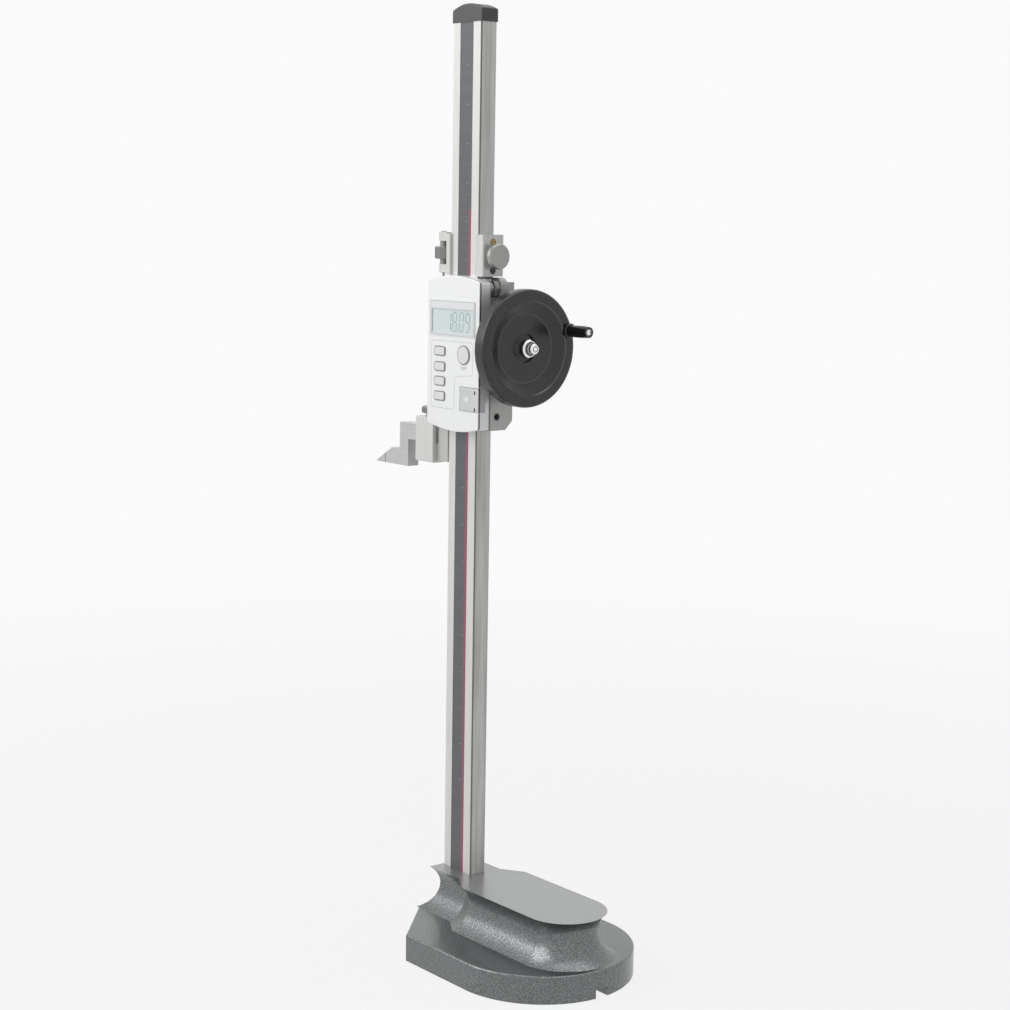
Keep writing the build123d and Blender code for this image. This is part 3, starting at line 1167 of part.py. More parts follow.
PIECES = {
    "base_casting": make_base_casting,
    "column_screws": make_column_screws,
    "column": make_column,
    "scale_strip": make_scale_strip,
    "gear_rack": make_gear_rack,
    "rack_screws": make_rack_screws,
    "column_cap": make_column_cap,
    "cap_screw": make_cap_screw,
    "slider_body": make_slider_body,
    "gib_strip": make_gib_strip,
    "gib_screws": make_gib_screws,
    "drive_housing": make_drive_housing,
    "join_screws": make_join_screws,
    "drive_cover": make_drive_cover,
    "cover_screws": make_cover_screws,
    "axle_bushes": make_axle_bushes,
    "roller_pin": make_roller_pin,
    "fine_screw": make_fine_screw,
    "sensor_board": make_sensor_board,
    "display_housing": make_display_housing,
    "display_screws": make_display_screws,
    "lcd_panel": make_lcd_panel,
    "lcd_bezel": make_lcd_bezel,
    "circuit_board": make_circuit_board,
    "switch_domes": make_switch_domes,
    "battery": make_battery,
    "battery_tray": make_battery_tray,
    "battery_contact": make_battery_contact,
    "battery_door": make_battery_door,
    "port_cover": make_port_cover,
    "power_key": make_power_key,
    "pinion": make_pinion,
    "pinion_axle": make_pinion_axle,
    "handwheel": make_handwheel,
    "wheel_nut": make_wheel_nut,
    "handle_collar": make_handle_collar,
    "handle_screw": make_handle_screw,
    "handle_grip": make_handle_grip,
    "thumb_roller": make_thumb_roller,
    "clamp_block": make_clamp_block,
    "clamp_shoe": make_clamp_shoe,
    "lock_knob": make_lock_knob,
    "fine_nut": make_fine_nut,
    "scriber_clamp": make_scriber_clamp,
    "scriber_shoe": make_scriber_shoe,
    "scriber_knob": make_scriber_knob,
    "scriber": make_scriber,
    "carbide_tip": make_carbide_tip,
}

for node, make in PIECES.items():
    save(make(), node)

for number, z in enumerate(KEY_Z, 1):
    save(make_key(z), f"key_{number}")

for name, z in zip(("clamp_screw_lower", "clamp_screw_upper"), CLAMP_SCREW_Z):
    save(make_clamp_screw(z), name)
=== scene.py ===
import json
from math import cos, pi, radians, sin

import bmesh
import bpy
from mathutils import Matrix, Vector


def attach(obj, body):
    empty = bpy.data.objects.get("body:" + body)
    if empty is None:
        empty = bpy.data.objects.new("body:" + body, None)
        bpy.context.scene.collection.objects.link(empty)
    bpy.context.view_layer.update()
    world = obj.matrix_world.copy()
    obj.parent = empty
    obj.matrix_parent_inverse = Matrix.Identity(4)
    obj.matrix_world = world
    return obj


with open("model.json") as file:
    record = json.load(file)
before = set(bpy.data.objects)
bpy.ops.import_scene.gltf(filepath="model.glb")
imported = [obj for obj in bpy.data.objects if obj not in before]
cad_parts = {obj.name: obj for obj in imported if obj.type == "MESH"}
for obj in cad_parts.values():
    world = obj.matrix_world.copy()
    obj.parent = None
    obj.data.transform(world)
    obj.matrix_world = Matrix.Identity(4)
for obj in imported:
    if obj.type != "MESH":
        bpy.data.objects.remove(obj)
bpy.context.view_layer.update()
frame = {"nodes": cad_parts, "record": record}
MM = 0.001


# ---------------------------------------------------------------- camera

CAMERA_PLACE = Vector((1.055, -0.834, 0.498))
CAMERA_YAW = radians(50.63)
CAMERA_PITCH = radians(8.28)
CAMERA_ROLL = radians(0.90)
CAMERA_LENS = 71.32
CAMERA_SENSOR = 36
CAMERA_SHIFT_Y = 0.002
CAMERA_NEAR, CAMERA_FAR = 0.05, 20


def make_camera():
    """Camera aimed by yaw, pitch and roll."""
    level = Vector((-sin(CAMERA_YAW), cos(CAMERA_YAW), 0))
    side = Vector((cos(CAMERA_YAW), sin(CAMERA_YAW), 0))
    up = Vector((0, 0, cos(CAMERA_PITCH))) + level * sin(CAMERA_PITCH)
    ahead = level * cos(CAMERA_PITCH) - Vector((0, 0, sin(CAMERA_PITCH)))
    right = side * cos(CAMERA_ROLL) + up * sin(CAMERA_ROLL)
    top = up * cos(CAMERA_ROLL) - side * sin(CAMERA_ROLL)
    data = bpy.data.cameras.new("camera")
    data.sensor_width = CAMERA_SENSOR
    data.lens = CAMERA_LENS
    data.shift_y = CAMERA_SHIFT_Y
    data.clip_start = CAMERA_NEAR
    data.clip_end = CAMERA_FAR
    camera = bpy.data.objects.new("camera", data)
    bpy.context.scene.collection.objects.link(camera)
    turn = Matrix((right, top, -ahead)).transposed().to_4x4()
    camera.matrix_world = Matrix.Translation(CAMERA_PLACE) @ turn
    bpy.context.scene.camera = camera


# ---------------------------------------------------------------- shader nodes

def new_material(name, colour, metallic=0.0, roughness=0.5, coat=0.0, coat_roughness=0.1):
    """Principled material with plain values; returns material, nodes, links and shader."""
    material = bpy.data.materials.new(name)
    material.use_nodes = True
    nodes = material.node_tree.nodes
    shader = nodes["Principled BSDF"]
    shader.inputs["Base Color"].default_value = (*colour, 1)
    shader.inputs["Metallic"].default_value = metallic
    shader.inputs["Roughness"].default_value = roughness
    shader.inputs["Coat Weight"].default_value = coat
    shader.inputs["Coat Roughness"].default_value = coat_roughness
    material.diffuse_color = (*colour, 1)
    return material, nodes, material.node_tree.links, shader


def grain(nodes, links, scale, detail=4.0):
    """Noise on object coordinates, stretched by a scale along each axis."""
    place = nodes.new("ShaderNodeTexCoord")
    mapping = nodes.new("ShaderNodeMapping")
    mapping.inputs["Scale"].default_value = scale
    noise = nodes.new("ShaderNodeTexNoise")
    noise.inputs["Scale"].default_value = 1.0
    noise.inputs["Detail"].default_value = detail
    links.new(place.outputs["Object"], mapping.inputs["Vector"])
    links.new(mapping.outputs["Vector"], noise.inputs["Vector"])
    return noise.outputs["Fac"]


def colour_ramp(nodes, links, source, stops):
    """Colours along a factor."""
    ramp = nodes.new("ShaderNodeValToRGB")
    for element, (place, colour) in zip(ramp.color_ramp.elements, (stops[0], stops[-1])):
        element.position = place
        element.color = (*colour, 1)
    for place, colour in stops[1:-1]:
        ramp.color_ramp.elements.new(place).color = (*colour, 1)
    links.new(source, ramp.inputs["Fac"])
    return ramp.outputs["Color"]


def add_bump(nodes, links, shader, height, strength, distance):
    """Fine relief from a height source."""
    bump = nodes.new("ShaderNodeBump")
    bump.inputs["Strength"].default_value = strength
    bump.inputs["Distance"].default_value = distance
    links.new(height, bump.inputs["Height"])
    links.new(bump.outputs["Normal"], shader.inputs["Normal"])


def add_roughness(nodes, links, shader, source, low, high):
    """Roughness that varies between two values."""
    spread = nodes.new("ShaderNodeMapRange")
    spread.inputs["To Min"].default_value = low
    spread.inputs["To Max"].default_value = high
    links.new(source, spread.inputs["Value"])
    links.new(spread.outputs["Result"], shader.inputs["Roughness"])


def tint(colour, factor):
    """Darker or paler shade of a colour."""
    return tuple(min(1.0, c * factor) for c in colour)


def position_mask(nodes, links, direction, limit, width=0.00002):
    """1 where the object position along a direction passes a limit."""
    place = nodes.new("ShaderNodeTexCoord")
    along = nodes.new("ShaderNodeVectorMath")
    along.operation = "DOT_PRODUCT"
    along.inputs[1].default_value = direction
    links.new(place.outputs["Object"], along.inputs[0])
    step = nodes.new("ShaderNodeMapRange")
    step.inputs["From Min"].default_value = limit - width
    step.inputs["From Max"].default_value = limit + width
    links.new(along.outputs["Value"], step.inputs["Value"])
    return step.outputs["Result"]


def mix_colour(nodes, links, factor, first, second):
    """Mix of two colours, each a value or a socket."""
    mix = nodes.new("ShaderNodeMix")
    mix.data_type = "RGBA"
    links.new(factor, mix.inputs["Factor"])
    for name, colour in (("A", first), ("B", second)):
        socket = [i for i in mix.inputs if i.name == name and i.type == "RGBA"][0]
        if isinstance(colour, tuple):
            socket.default_value = (*colour, 1)
        else:
            links.new(colour, socket)
    return [o for o in mix.outputs if o.type == "RGBA"][0]


def combine(nodes, links, operation, first, second):
    """Result of a math node on two sockets."""
    result = nodes.new("ShaderNodeMath")
    result.operation = operation
    links.new(first, result.inputs[0])
    links.new(second, result.inputs[1])
    return result.outputs[0]


# ---------------------------------------------------------------- finishes

ALONG_X = (30, 1800, 1800)
ALONG_Z = (1800, 1800, 30)
EVEN = (900, 900, 900)
GRIND_BUMP = (0.12, 0.00004)

STAND_TOP = 47.9 * MM
HAMMER_CELLS = 700
HAMMER_BUMP = (0.45, 0.0003)
SPECKLE_GRAIN = (1300, 1300, 1300)
FLAKE_GRAIN = (2500, 2500, 2500)

COLUMN_METAL = 0.2
COLUMN_ROUGHNESS = (0.30, 0.42)
COLUMN_SIDE_X = 14.97 * MM
COLUMN_CHAMFER = 20.68 * MM
CHAMFER_BLUR = 0.00003
SIDE_STREAKS = (300, 300, 14)

RED_BAND_X = 3.2 * MM
RED_BAND_TOP = 502 * MM
STRIP_FLECKS = (60, 60, 350)


def brushed_metal(name, colour, scale, roughness=(0.28, 0.42), metallic=0.2, spread=0.08):
    """Ground metal whose fine lines follow the stretched grain."""
    material, nodes, links, shader = new_material(name, colour, metallic)
    lines = grain(nodes, links, scale)
    stops = [(0.3, tint(colour, 1 - spread)), (0.7, tint(colour, 1 + spread))]
    links.new(colour_ramp(nodes, links, lines, stops), shader.inputs["Base Color"])
    add_roughness(nodes, links, shader, lines, *roughness)
    add_bump(nodes, links, shader, lines, *GRIND_BUMP)
    return material


def matt_plastic(name, colour, roughness=0.5, grain_size=1500, depth=0.00003):
    """Moulded plastic with a fine eroded surface."""
    material, nodes, links, shader = new_material(name, colour, 0.0, roughness)
    texture = grain(nodes, links, (grain_size,) * 3, 2.0)
    add_roughness(nodes, links, shader, texture, roughness - 0.06, roughness + 0.06)
    add_bump(nodes, links, shader, texture, 0.3, depth)
    return material


def hammertone_enamel(name, colour, top_reflection):
    """Glossy hammered paint: dimples and a two-tone speckle, and a painted reflection that makes
    the top face paler.
    """
    material, nodes, links, shader = new_material(name, colour, 0.75, 0.31, 0.25, 0.14)
    place = nodes.new("ShaderNodeTexCoord")
    cells = nodes.new("ShaderNodeTexVoronoi")
    cells.inputs["Scale"].default_value = HAMMER_CELLS
    cells.feature = "SMOOTH_F1"
    links.new(place.outputs["Object"], cells.inputs["Vector"])
    speckle = grain(nodes, links, SPECKLE_GRAIN, 3.0)
    stops = [(0.38, tint(colour, 0.62)), (0.5, colour), (0.62, tint(colour, 1.42))]
    paint = colour_ramp(nodes, links, speckle, stops)
    # Painted reflection: above the top of the stand the colour turns paler.
    top = position_mask(nodes, links, (0, 0, 1), STAND_TOP)
    links.new(mix_colour(nodes, links, top, paint, top_reflection), shader.inputs["Base Color"])
    add_bump(nodes, links, shader, cells.outputs["Distance"], *HAMMER_BUMP)
    return material


def pearl_lacquer(name, colour):
    """Pale silver paint with a very fine sparkle."""
    material, nodes, links, shader = new_material(name, colour, 0.30, 0.38, 0.3, 0.2)
    flakes = grain(nodes, links, FLAKE_GRAIN, 2.0)
    stops = [(0.35, tint(colour, 0.96)), (0.65, tint(colour, 1.04))]
    links.new(colour_ramp(nodes, links, flakes, stops), shader.inputs["Base Color"])
    return material


def scale_film(name, grey, red):
    """Printed strip: grey ground and a red band along the right edge that ends below the top."""
    material, nodes, links, shader = new_material(name, grey, 0.0, 0.38, 0.2, 0.2)
    right = position_mask(nodes, links, (1, 0, 0), RED_BAND_X)
    below = position_mask(nodes, links, (0, 0, -1), -RED_BAND_TOP)
    band = combine(nodes, links, "MULTIPLY", right, below)
    flecks = grain(nodes, links, STRIP_FLECKS, 3.0)
    stops = [(0.35, tint(grey, 0.94)), (0.65, tint(grey, 1.06))]
    ground = colour_ramp(nodes, links, flecks, stops)
    links.new(mix_colour(nodes, links, band, ground, red), shader.inputs["Base Color"])
    return material


def ground_column(name, colour, edge):
    """Ground column: painted shade as a darker, streaked side towards the handwheel, and dark
    corner chamfers.
    """
    material, nodes, links, shader = new_material(name, colour, COLUMN_METAL)
    lines = grain(nodes, links, ALONG_Z)
    stops = [(0.3, tint(colour, 0.93)), (0.7, tint(colour, 1.05))]
    bright = colour_ramp(nodes, links, lines, stops)
    # Painted shade: the side towards the handwheel takes a darker copy of the colour, with streaks
    # in it.
    streaks = grain(nodes, links, SIDE_STREAKS, 3.0)
    stops = [(0.35, tint(colour, 0.74)), (0.65, colour)]
    shaded = colour_ramp(nodes, links, streaks, stops)
    side = position_mask(nodes, links, (1, 0, 0), COLUMN_SIDE_X)
    faces = mix_colour(nodes, links, side, bright, shaded)
    corner = position_mask(nodes, links, (1, -1, 0), COLUMN_CHAMFER, CHAMFER_BLUR)
    links.new(mix_colour(nodes, links, corner, faces, edge), shader.inputs["Base Color"])
    add_roughness(nodes, links, shader, lines, *COLUMN_ROUGHNESS)
    add_bump(nodes, links, shader, lines, *GRIND_BUMP)
    return material


STEEL = (0.74, 0.74, 0.72)

# Colour and grain, then roughness, metallic share and spread where they aren't the usual ones.
METALS = {
    "rack_steel": ((0.42, 0.42, 0.40), ALONG_X),
    "screw_steel": ((0.06, 0.06, 0.06), EVEN, (0.3, 0.45)),
    "slide_steel": ((0.60, 0.60, 0.575), ALONG_Z),
    "housing_metal": ((0.62, 0.62, 0.60), ALONG_Z),
    "brass": ((0.55, 0.40, 0.16), EVEN),
    "bronze": ((0.42, 0.27, 0.12), EVEN),
    "switch_metal": (STEEL, EVEN),
    "cell_steel": (STEEL, EVEN, (0.15, 0.25)),
    "bright_chrome": ((0.82, 0.82, 0.82), EVEN, (0.08, 0.14), 1.0, 0.02),
    "knob_steel": ((0.40, 0.40, 0.385), EVEN, (0.24, 0.28), 0.5, 0.02),
    "knurl_steel": ((0.32, 0.32, 0.31), EVEN, (0.3, 0.45), 0.4),
    "clamp_steel": ((0.76, 0.76, 0.74), ALONG_Z, (0.22, 0.34)),
    "blade_steel": ((0.62, 0.62, 0.61), ALONG_X, (0.20, 0.32), 0.1),
    "carbide": ((0.60, 0.60, 0.59), ALONG_X, (0.20, 0.32), 0.1),
    # Paler rings that stand for painted highlights on the edges of the wheel's dish.
    "polished_edge": ((0.10, 0.10, 0.10), EVEN, (0.2, 0.3), 0.4),
}

# Colour, then roughness, grain size and depth where they aren't the usual ones.
PLASTICS = {
    "cap_black": ((0.055, 0.057, 0.055), 0.36),
    "bezel_white": ((0.95, 0.96, 0.96), 0.26, 3000, 0.00001),
    "lcd_face": ((0.80, 0.90, 0.90), 0.18, 3000, 0.000005),
    "board_green": ((0.02, 0.12, 0.05), 0.35),
    "tray_plastic": ((0.03, 0.03, 0.032),),
    "key_silver": ((0.90, 0.903, 0.905), 0.36),
    "door_silver": ((0.80, 0.805, 0.81), 0.40),
    "port_rubber": ((0.30, 0.31, 0.31), 0.7),
    "wheel_black": ((0.026, 0.026, 0.027), 0.27, 1200, 0.00002),
    "grip_black": ((0.012, 0.012, 0.013), 0.20, 2500, 0.00001),
    "line_grey": ((0.30, 0.30, 0.31),),
    "groove_grey": ((0.66, 0.66, 0.67),),
    "digit_ink": ((0.44, 0.54, 0.54), 0.4),
    # Dark of the braze joint, and painted shade in grooves and in the parting seam of the head.
    "seam_dark": ((0.085, 0.085, 0.085), 0.6),
    "dark_mark": ((0.02, 0.02, 0.02),),
    "tick_print": ((0.40, 0.40, 0.41),),
    "arrow_white": ((0.93, 0.93, 0.93), 0.4),
}


# Finish of each name, filled by make_finishes.
finish = {}


def make_finishes():
    """One finish for each slot of the record, and the inks and lines of the scene's pieces."""
    for maker, name, *colours in (
            # The second colour of cast_base is the painted reflection on its top face.
            (hammertone_enamel, "cast_base", (0.175, 0.185, 0.186), (0.36, 0.37, 0.365)),
            (ground_column, "column_steel", (0.79, 0.79, 0.765), (0.20, 0.20, 0.185)),
            (scale_film, "strip_film", (0.105, 0.11, 0.118), (0.30, 0.075, 0.13)),
            (pearl_lacquer, "head_shell", (0.93, 0.933, 0.94))):
        finish[name] = maker(name, *colours)
    for name, values in METALS.items():
        finish[name] = brushed_metal(name, *values)
    for name, values in PLASTICS.items():
        finish[name] = matt_plastic(name, *values)


def dress_frame():
    """Puts each slot's finish on the CAD nodes."""
    for entry in frame["record"]["subparts"]:
        shape = frame["nodes"][entry["node"]]
        shape.data.materials.clear()
        shape.data.materials.append(finish[entry["material_slot"]])


# ---------------------------------------------------------------- light and floor

BACKDROP_WHITE = (0.955, 0.96, 0.957)
SKY_COLOUR = (0.96, 0.98, 1.0)
SKY_STRENGTH = 0.26
LAMP_AIM = Vector((0, 0, 0.32))
# Name, place, width and power.
LAMPS = (("front_lamp", (-0.8, -1.5, 1.35), 1.6, 23),
         ("top_lamp", (0.2, 0.3, 2.2), 1.8, 12))
FLOOR_HALF = 6.0
FLOOR_GREY = (0.70, 0.70, 0.70)
FLOOR_ROUGHNESS = 0.9
FLOOR_SHARE = 0.88
FLOOR_NEAR = 0.25
FLOOR_FAR = 1.6


def seen_or_reflected(nodes, links):
    """1 for camera, transmission and glossy rays."""
    rays = nodes.new("ShaderNodeLightPath")
    camera, clear = rays.outputs["Is Camera Ray"], rays.outputs["Is Transmission Ray"]
    seen = combine(nodes, links, "MAXIMUM", camera, clear)
    return combine(nodes, links, "MAXIMUM", seen, rays.outputs["Is Glossy Ray"])


def blend_shaders(nodes, links, factor, first, second, surface):
    """Mix of two shaders as an output's surface."""
    mix = nodes.new("ShaderNodeMixShader")
    links.new(factor, mix.inputs["Fac"])
    links.new(first.outputs[0], mix.inputs[1])
    links.new(second.outputs[0], mix.inputs[2])
    links.new(mix.outputs[0], surface)


def make_light():
    """White surroundings for the eye and for reflections, soft grey light on the object."""
    world = bpy.data.worlds.new("surroundings")
    world.use_nodes = True
    bpy.context.scene.world = world
    nodes, links = world.node_tree.nodes, world.node_tree.links
    sky = nodes["Background"]
    sky.inputs["Color"].default_value = (*SKY_COLOUR, 1)
    sky.inputs["Strength"].default_value = SKY_STRENGTH
    white = nodes.new("ShaderNodeBackground")
    white.inputs["Color"].default_value = (*BACKDROP_WHITE, 1)
    surface = nodes["World Output"].inputs["Surface"]
    blend_shaders(nodes, links, seen_or_reflected(nodes, links), sky, white, surface)
    for name, place, width, power in LAMPS:
        data = bpy.data.lights.new(name, "AREA")
        data.size = width
        data.energy = power
        lamp = bpy.data.objects.new(name, data)
        bpy.context.scene.collection.objects.link(lamp)
        lamp.location = place
        lamp.rotation_euler = (LAMP_AIM - Vector(place)).to_track_quat("-Z", "Y").to_euler()


def floor_white_share(nodes, links):
    """Share of the floor's own white: nearly all by the object, all of it far away."""
    place = nodes.new("ShaderNodeTexCoord")
    reach = nodes.new("ShaderNodeVectorMath")
    reach.operation = "LENGTH"
    links.new(place.outputs["Object"], reach.inputs[0])
    share = nodes.new("ShaderNodeMapRange")
    share.interpolation_type = "SMOOTHSTEP"
    share.inputs["From Min"].default_value = FLOOR_NEAR
    share.inputs["From Max"].default_value = FLOOR_FAR
    share.inputs["To Min"].default_value = FLOOR_SHARE
    share.inputs["To Max"].default_value = 1.0
    links.new(reach.outputs["Value"], share.inputs["Value"])
    return share.outputs["Result"]


def make_floor():
    """Plain floor, white to the eye, with a faint share of the object's shadow."""
    mesh = bpy.data.meshes.new("floor")
    half = FLOOR_HALF
    corners = [(-half, -half, 0), (half, -half, 0), (half, half, 0), (-half, half, 0)]
    mesh.from_pydata(corners, [], [(0, 1, 2, 3)])
    floor = bpy.data.objects.new("floor", mesh)
    bpy.context.scene.collection.objects.link(floor)
    made = new_material("floor_white", FLOOR_GREY, 0.0, FLOOR_ROUGHNESS)
    material, nodes, links, shader = made
    glow = nodes.new("ShaderNodeEmission")
    glow.inputs["Color"].default_value = (*BACKDROP_WHITE, 1)
    seen = seen_or_reflected(nodes, links)
    factor = combine(nodes, links, "MULTIPLY", seen, floor_white_share(nodes, links))
    surface = nodes["Material Output"].inputs["Surface"]
    blend_shaders(nodes, links, factor, shader, glow, surface)
    mesh.materials.append(material)


# ---------------------------------------------------------------- pieces and their meshes

def add_piece(name, mesh, body):
    """Shows a mesh as a piece that rides on a body."""
    piece = bpy.data.objects.new(name, mesh)
    bpy.context.scene.collection.objects.link(piece)
    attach(piece, body)


def add_mesh(name, points, faces, look, body):
    """Piece from points in millimetres."""
    mesh = bpy.data.meshes.new(name)
    mesh.from_pydata([Vector(p) * MM for p in points], [], faces)
    mesh.materials.append(finish[look])
    work = bmesh.new()
    work.from_mesh(mesh)
    bmesh.ops.recalc_face_normals(work, faces=work.faces)
    work.to_mesh(mesh)
    work.free()
    add_piece(name, mesh, body)


def made_mesh(maker):
    """Plain mesh of what a new object's curve or modifier makes."""
    bpy.context.scene.collection.objects.link(maker)
    bpy.context.view_layer.update()
    shown = maker.evaluated_get(bpy.context.evaluated_depsgraph_get())
    return bpy.data.meshes.new_from_object(shown)


def plate(outline, front, back, start):
    """Points and faces of a flat plate with an (x, z) outline between two Y places."""
    count = len(outline)
    points = [(x, front, z) for x, z in outline] + [(x, back, z) for x, z in outline]
    ring = range(start, start + count)
    faces = [tuple(ring), tuple(i + count for i in reversed(ring))]
    for i in range(count):
        j = (i + 1) % count
        faces.append((start + i, start + count + i, start + count + j, start + j))
    return points, faces


def add_plates(name, outlines, front, back, look, body, slot):
    """One piece made of several flat plates."""
    points, faces = [], []
    for outline in outlines:
        more_points, more_faces = plate(outline, front, back, len(points))
        points += more_points
        faces += more_faces
    add_mesh(name, points, faces, look, body)


# ---------------------------------------------------------------- outlines, as (x, z) points

THINNEST_MITRE = 0.4


def rectangle(left, low, right, high):
    """Corners of a rectangle."""
    return [(left, low), (right, low), (right, high), (left, high)]


def circle(radius, middle, steps=48):
    """Points round a circle."""
    turns = [2 * pi * k / steps for k in range(steps)]
    return [(middle[0] + radius * cos(a), middle[1] + radius * sin(a)) for a in turns]


def rounded_outline(half_x, half_z, corner, middle=(0, 0), steps=6):
    """Rectangle with round corners."""
    points = []
    corners = ((1, 1, 0), (-1, 1, 90), (-1, -1, 180), (1, -1, 270))
    for side_x, side_z, start in corners:
        for k in range(steps + 1):
            angle = radians(start + 90 * k / steps)
            x = side_x * (half_x - corner) + corner * cos(angle)
            z = side_z * (half_z - corner) + corner * sin(angle)
            points.append((middle[0] + x, middle[1] + z))
    return points


def band_pieces(inner, outer):
    """Quads between two closed outlines with as many points."""
    count = len(inner)
    return [[inner[i], inner[(i + 1) % count], outer[(i + 1) % count], outer[i]]
            for i in range(count)]


def stroke_pieces(path, width, closed=False):
    """Quads that follow a path with mitred corners."""
    places = [Vector(p) for p in path]
    count = len(places)
    sides = []
    for i, place in enumerate(places):
        before = places[i - 1] if closed or i else None
        after = places[(i + 1) % count] if closed or i < count - 1 else None
        into = (place - before).normalized() if before is not None else None
        out = (after - place).normalized() if after is not None else None
        into = into or out
        out = out or into
        tangent = (into + out).normalized()
        normal = Vector((-tangent.y, tangent.x))
        reach = width / 2 / max(THINNEST_MITRE, normal.dot(Vector((-into.y, into.x))))
        sides.append((place + normal * reach, place - normal * reach))
    last = count if closed else count - 1
    return [[sides[i][0], sides[(i + 1) % count][0], sides[(i + 1) % count][1], sides[i][1]]
            for i in range(last)]


def bend(before, place, after, radius, steps):
    """Points of a soft bend in place of a corner."""
    start = place + (before - place).normalized() * radius
    end = place + (after - place).normalized() * radius
    points = []
    for k in range(steps + 1):
        t = k / steps
        points.append(start * (1 - t) ** 2 + place * 2 * t * (1 - t) + end * t ** 2)
    return points


def round_corners(path, radius):
    """Closed path with a soft bend at each corner."""
    places = [Vector(p) for p in path]
    points = []
    for i, place in enumerate(places):
        points += bend(places[i - 1], place, places[(i + 1) % len(places)], radius, 5)
    return points


def arc_points(start, middle, end, steps=24):
    """Points of a shallow arch through three points with the middle one at its peak."""
    rise = middle[1] - (start[1] + end[1]) / 2
    points = []
    for k in range(steps + 1):
        t = k / steps
        level = start[1] + (end[1] - start[1]) * t
        points.append((start[0] + (end[0] - start[0]) * t, level + rise * 4 * t * (1 - t)))
    return points


# ---------------------------------------------------------------- display reading

HEAD_FRONT = -15.5
GLASS_FRONT = -15.2
BEZEL_FRONT = -16.0
MARK_RISE = 0.03
SEGMENTS = {"a": ((0, 2), (1, 2)), "b": ((1, 2), (1, 1)), "c": ((1, 1), (1, 0)),
            "d": ((0, 0), (1, 0)), "e": ((0, 1), (0, 0)), "f": ((0, 2), (0, 1)),
            "g": ((0, 1), (1, 1))}
NUMERALS = {"0": "abcdef", "1": "bc", "8": "abcdefg", "9": "abcdfg"}
DIGIT_LOW_Z = 421.4
DIGIT_HALF_H = 6.2
DIGIT_W = 4.0
DIGIT_STROKE = 0.95
DIGIT_GAP = DIGIT_STROKE * 0.55
DIGIT_SLANT = 0.06
DIGIT_PLACES = (("1", -7.2), ("8", -1.2), ("0", 6.2), ("9", 12.9))
POINT_X = 4.35
POINT_HALF = 0.5
POINT_CORNER = 0.2


def digit_outlines(numeral, left_x):
    """Segments of one numeral, each a short bar."""
    outlines = []
    for name in NUMERALS[numeral]:
        ends = []
        for column, row in SEGMENTS[name]:
            z = DIGIT_LOW_Z + row * DIGIT_HALF_H
            x = left_x + column * DIGIT_W + (z - DIGIT_LOW_Z) * DIGIT_SLANT
            ends.append(Vector((x, z)))
        gap = (ends[1] - ends[0]).normalized() * DIGIT_GAP
        outlines += stroke_pieces([ends[0] + gap, ends[1] - gap], DIGIT_STROKE)
    return outlines


def make_digits():
    """Reading of the display."""
    outlines = []
    for numeral, left_x in DIGIT_PLACES:
        outlines += digit_outlines(numeral, left_x)
    point_place = (POINT_X, DIGIT_LOW_Z)
    outlines.append(rounded_outline(POINT_HALF, POINT_HALF, POINT_CORNER, point_place))
    add_plates("display_digits", outlines, GLASS_FRONT - MARK_RISE, GLASS_FRONT,
               "digit_ink", "carriage", "lcd_face")


# ---------------------------------------------------------------- keys and lines of the head

KEY_X = -13.8
KEY_ROWS = (407.6, 397.2, 387.4, 377.4)
KEY_HALF = (5.25, 2.65)
KEY_CORNER = 1.2
KEY_HOLE_GAP = 0.1
RIM_WIDTH = 0.55
RIM_RISE = 0.5
POWER_PLACE = (11.9, 406.2)
POWER_R = 5.85
PANEL_PATH = [(-23.3, 414.6), (21.4, 414.6), (21.4, 393.0),
              (2.6, 391.6), (1.9, 369.4), (-23.3, 369.4)]
PANEL_CORNER = 2.6
PANEL_LINE = 0.35
WINDOW_MIDDLE = (-0.55, 427.8)
WINDOW_HALF = (22.65, 8.35)
WINDOW_CORNER = 0.6
BEZEL_LINE = 0.45
BEZEL_LINE_MIDDLE = (-0.7, 429.85)
BEZEL_LINE_HALF = (23.55, 11.3)
BEZEL_LINE_CORNER = 1.4
OFF_PLACE = (11.9, 397.2)
OFF_SIZE = 3.4


def key_outline(row_z, growth):
    """Outline of a small key, larger by a growth all round."""
    half_x, half_z = KEY_HALF
    place = (KEY_X, row_z)
    return rounded_outline(half_x + growth, half_z + growth, KEY_CORNER + growth, place)


def make_key_rims():
    """Painted shade of the gaps round the four keys and round the power key, as dark rims."""
    near, far = KEY_HOLE_GAP, KEY_HOLE_GAP + RIM_WIDTH
    outlines = []
    for row_z in KEY_ROWS:
        outlines += band_pieces(key_outline(row_z, near), key_outline(row_z, far))
    outlines += band_pieces(circle(POWER_R + near, POWER_PLACE), circle(POWER_R + far, POWER_PLACE))
    add_plates("key_rims", outlines, HEAD_FRONT - RIM_RISE, HEAD_FRONT,
               "line_grey", "carriage", "head_shell")


def make_panel_line():
    """Painted shade of the fine groove that borders the key field, as a grey line."""
    outlines = stroke_pieces(round_corners(PANEL_PATH, PANEL_CORNER), PANEL_LINE, closed=True)
    add_plates("panel_line", outlines, HEAD_FRONT - MARK_RISE, HEAD_FRONT,
               "groove_grey", "carriage", "head_shell")


def make_window_lines():
    """Grey borders of the window and of its frame."""
    window = rounded_outline(*WINDOW_HALF, WINDOW_CORNER, WINDOW_MIDDLE)
    border = rounded_outline(*BEZEL_LINE_HALF, BEZEL_LINE_CORNER, BEZEL_LINE_MIDDLE)
    outlines = stroke_pieces(window, PANEL_LINE, closed=True)
    outlines += stroke_pieces(border, BEZEL_LINE, closed=True)
    add_plates("window_lines", outlines, BEZEL_FRONT - MARK_RISE, BEZEL_FRONT,
               "groove_grey", "carriage", "bezel_white")


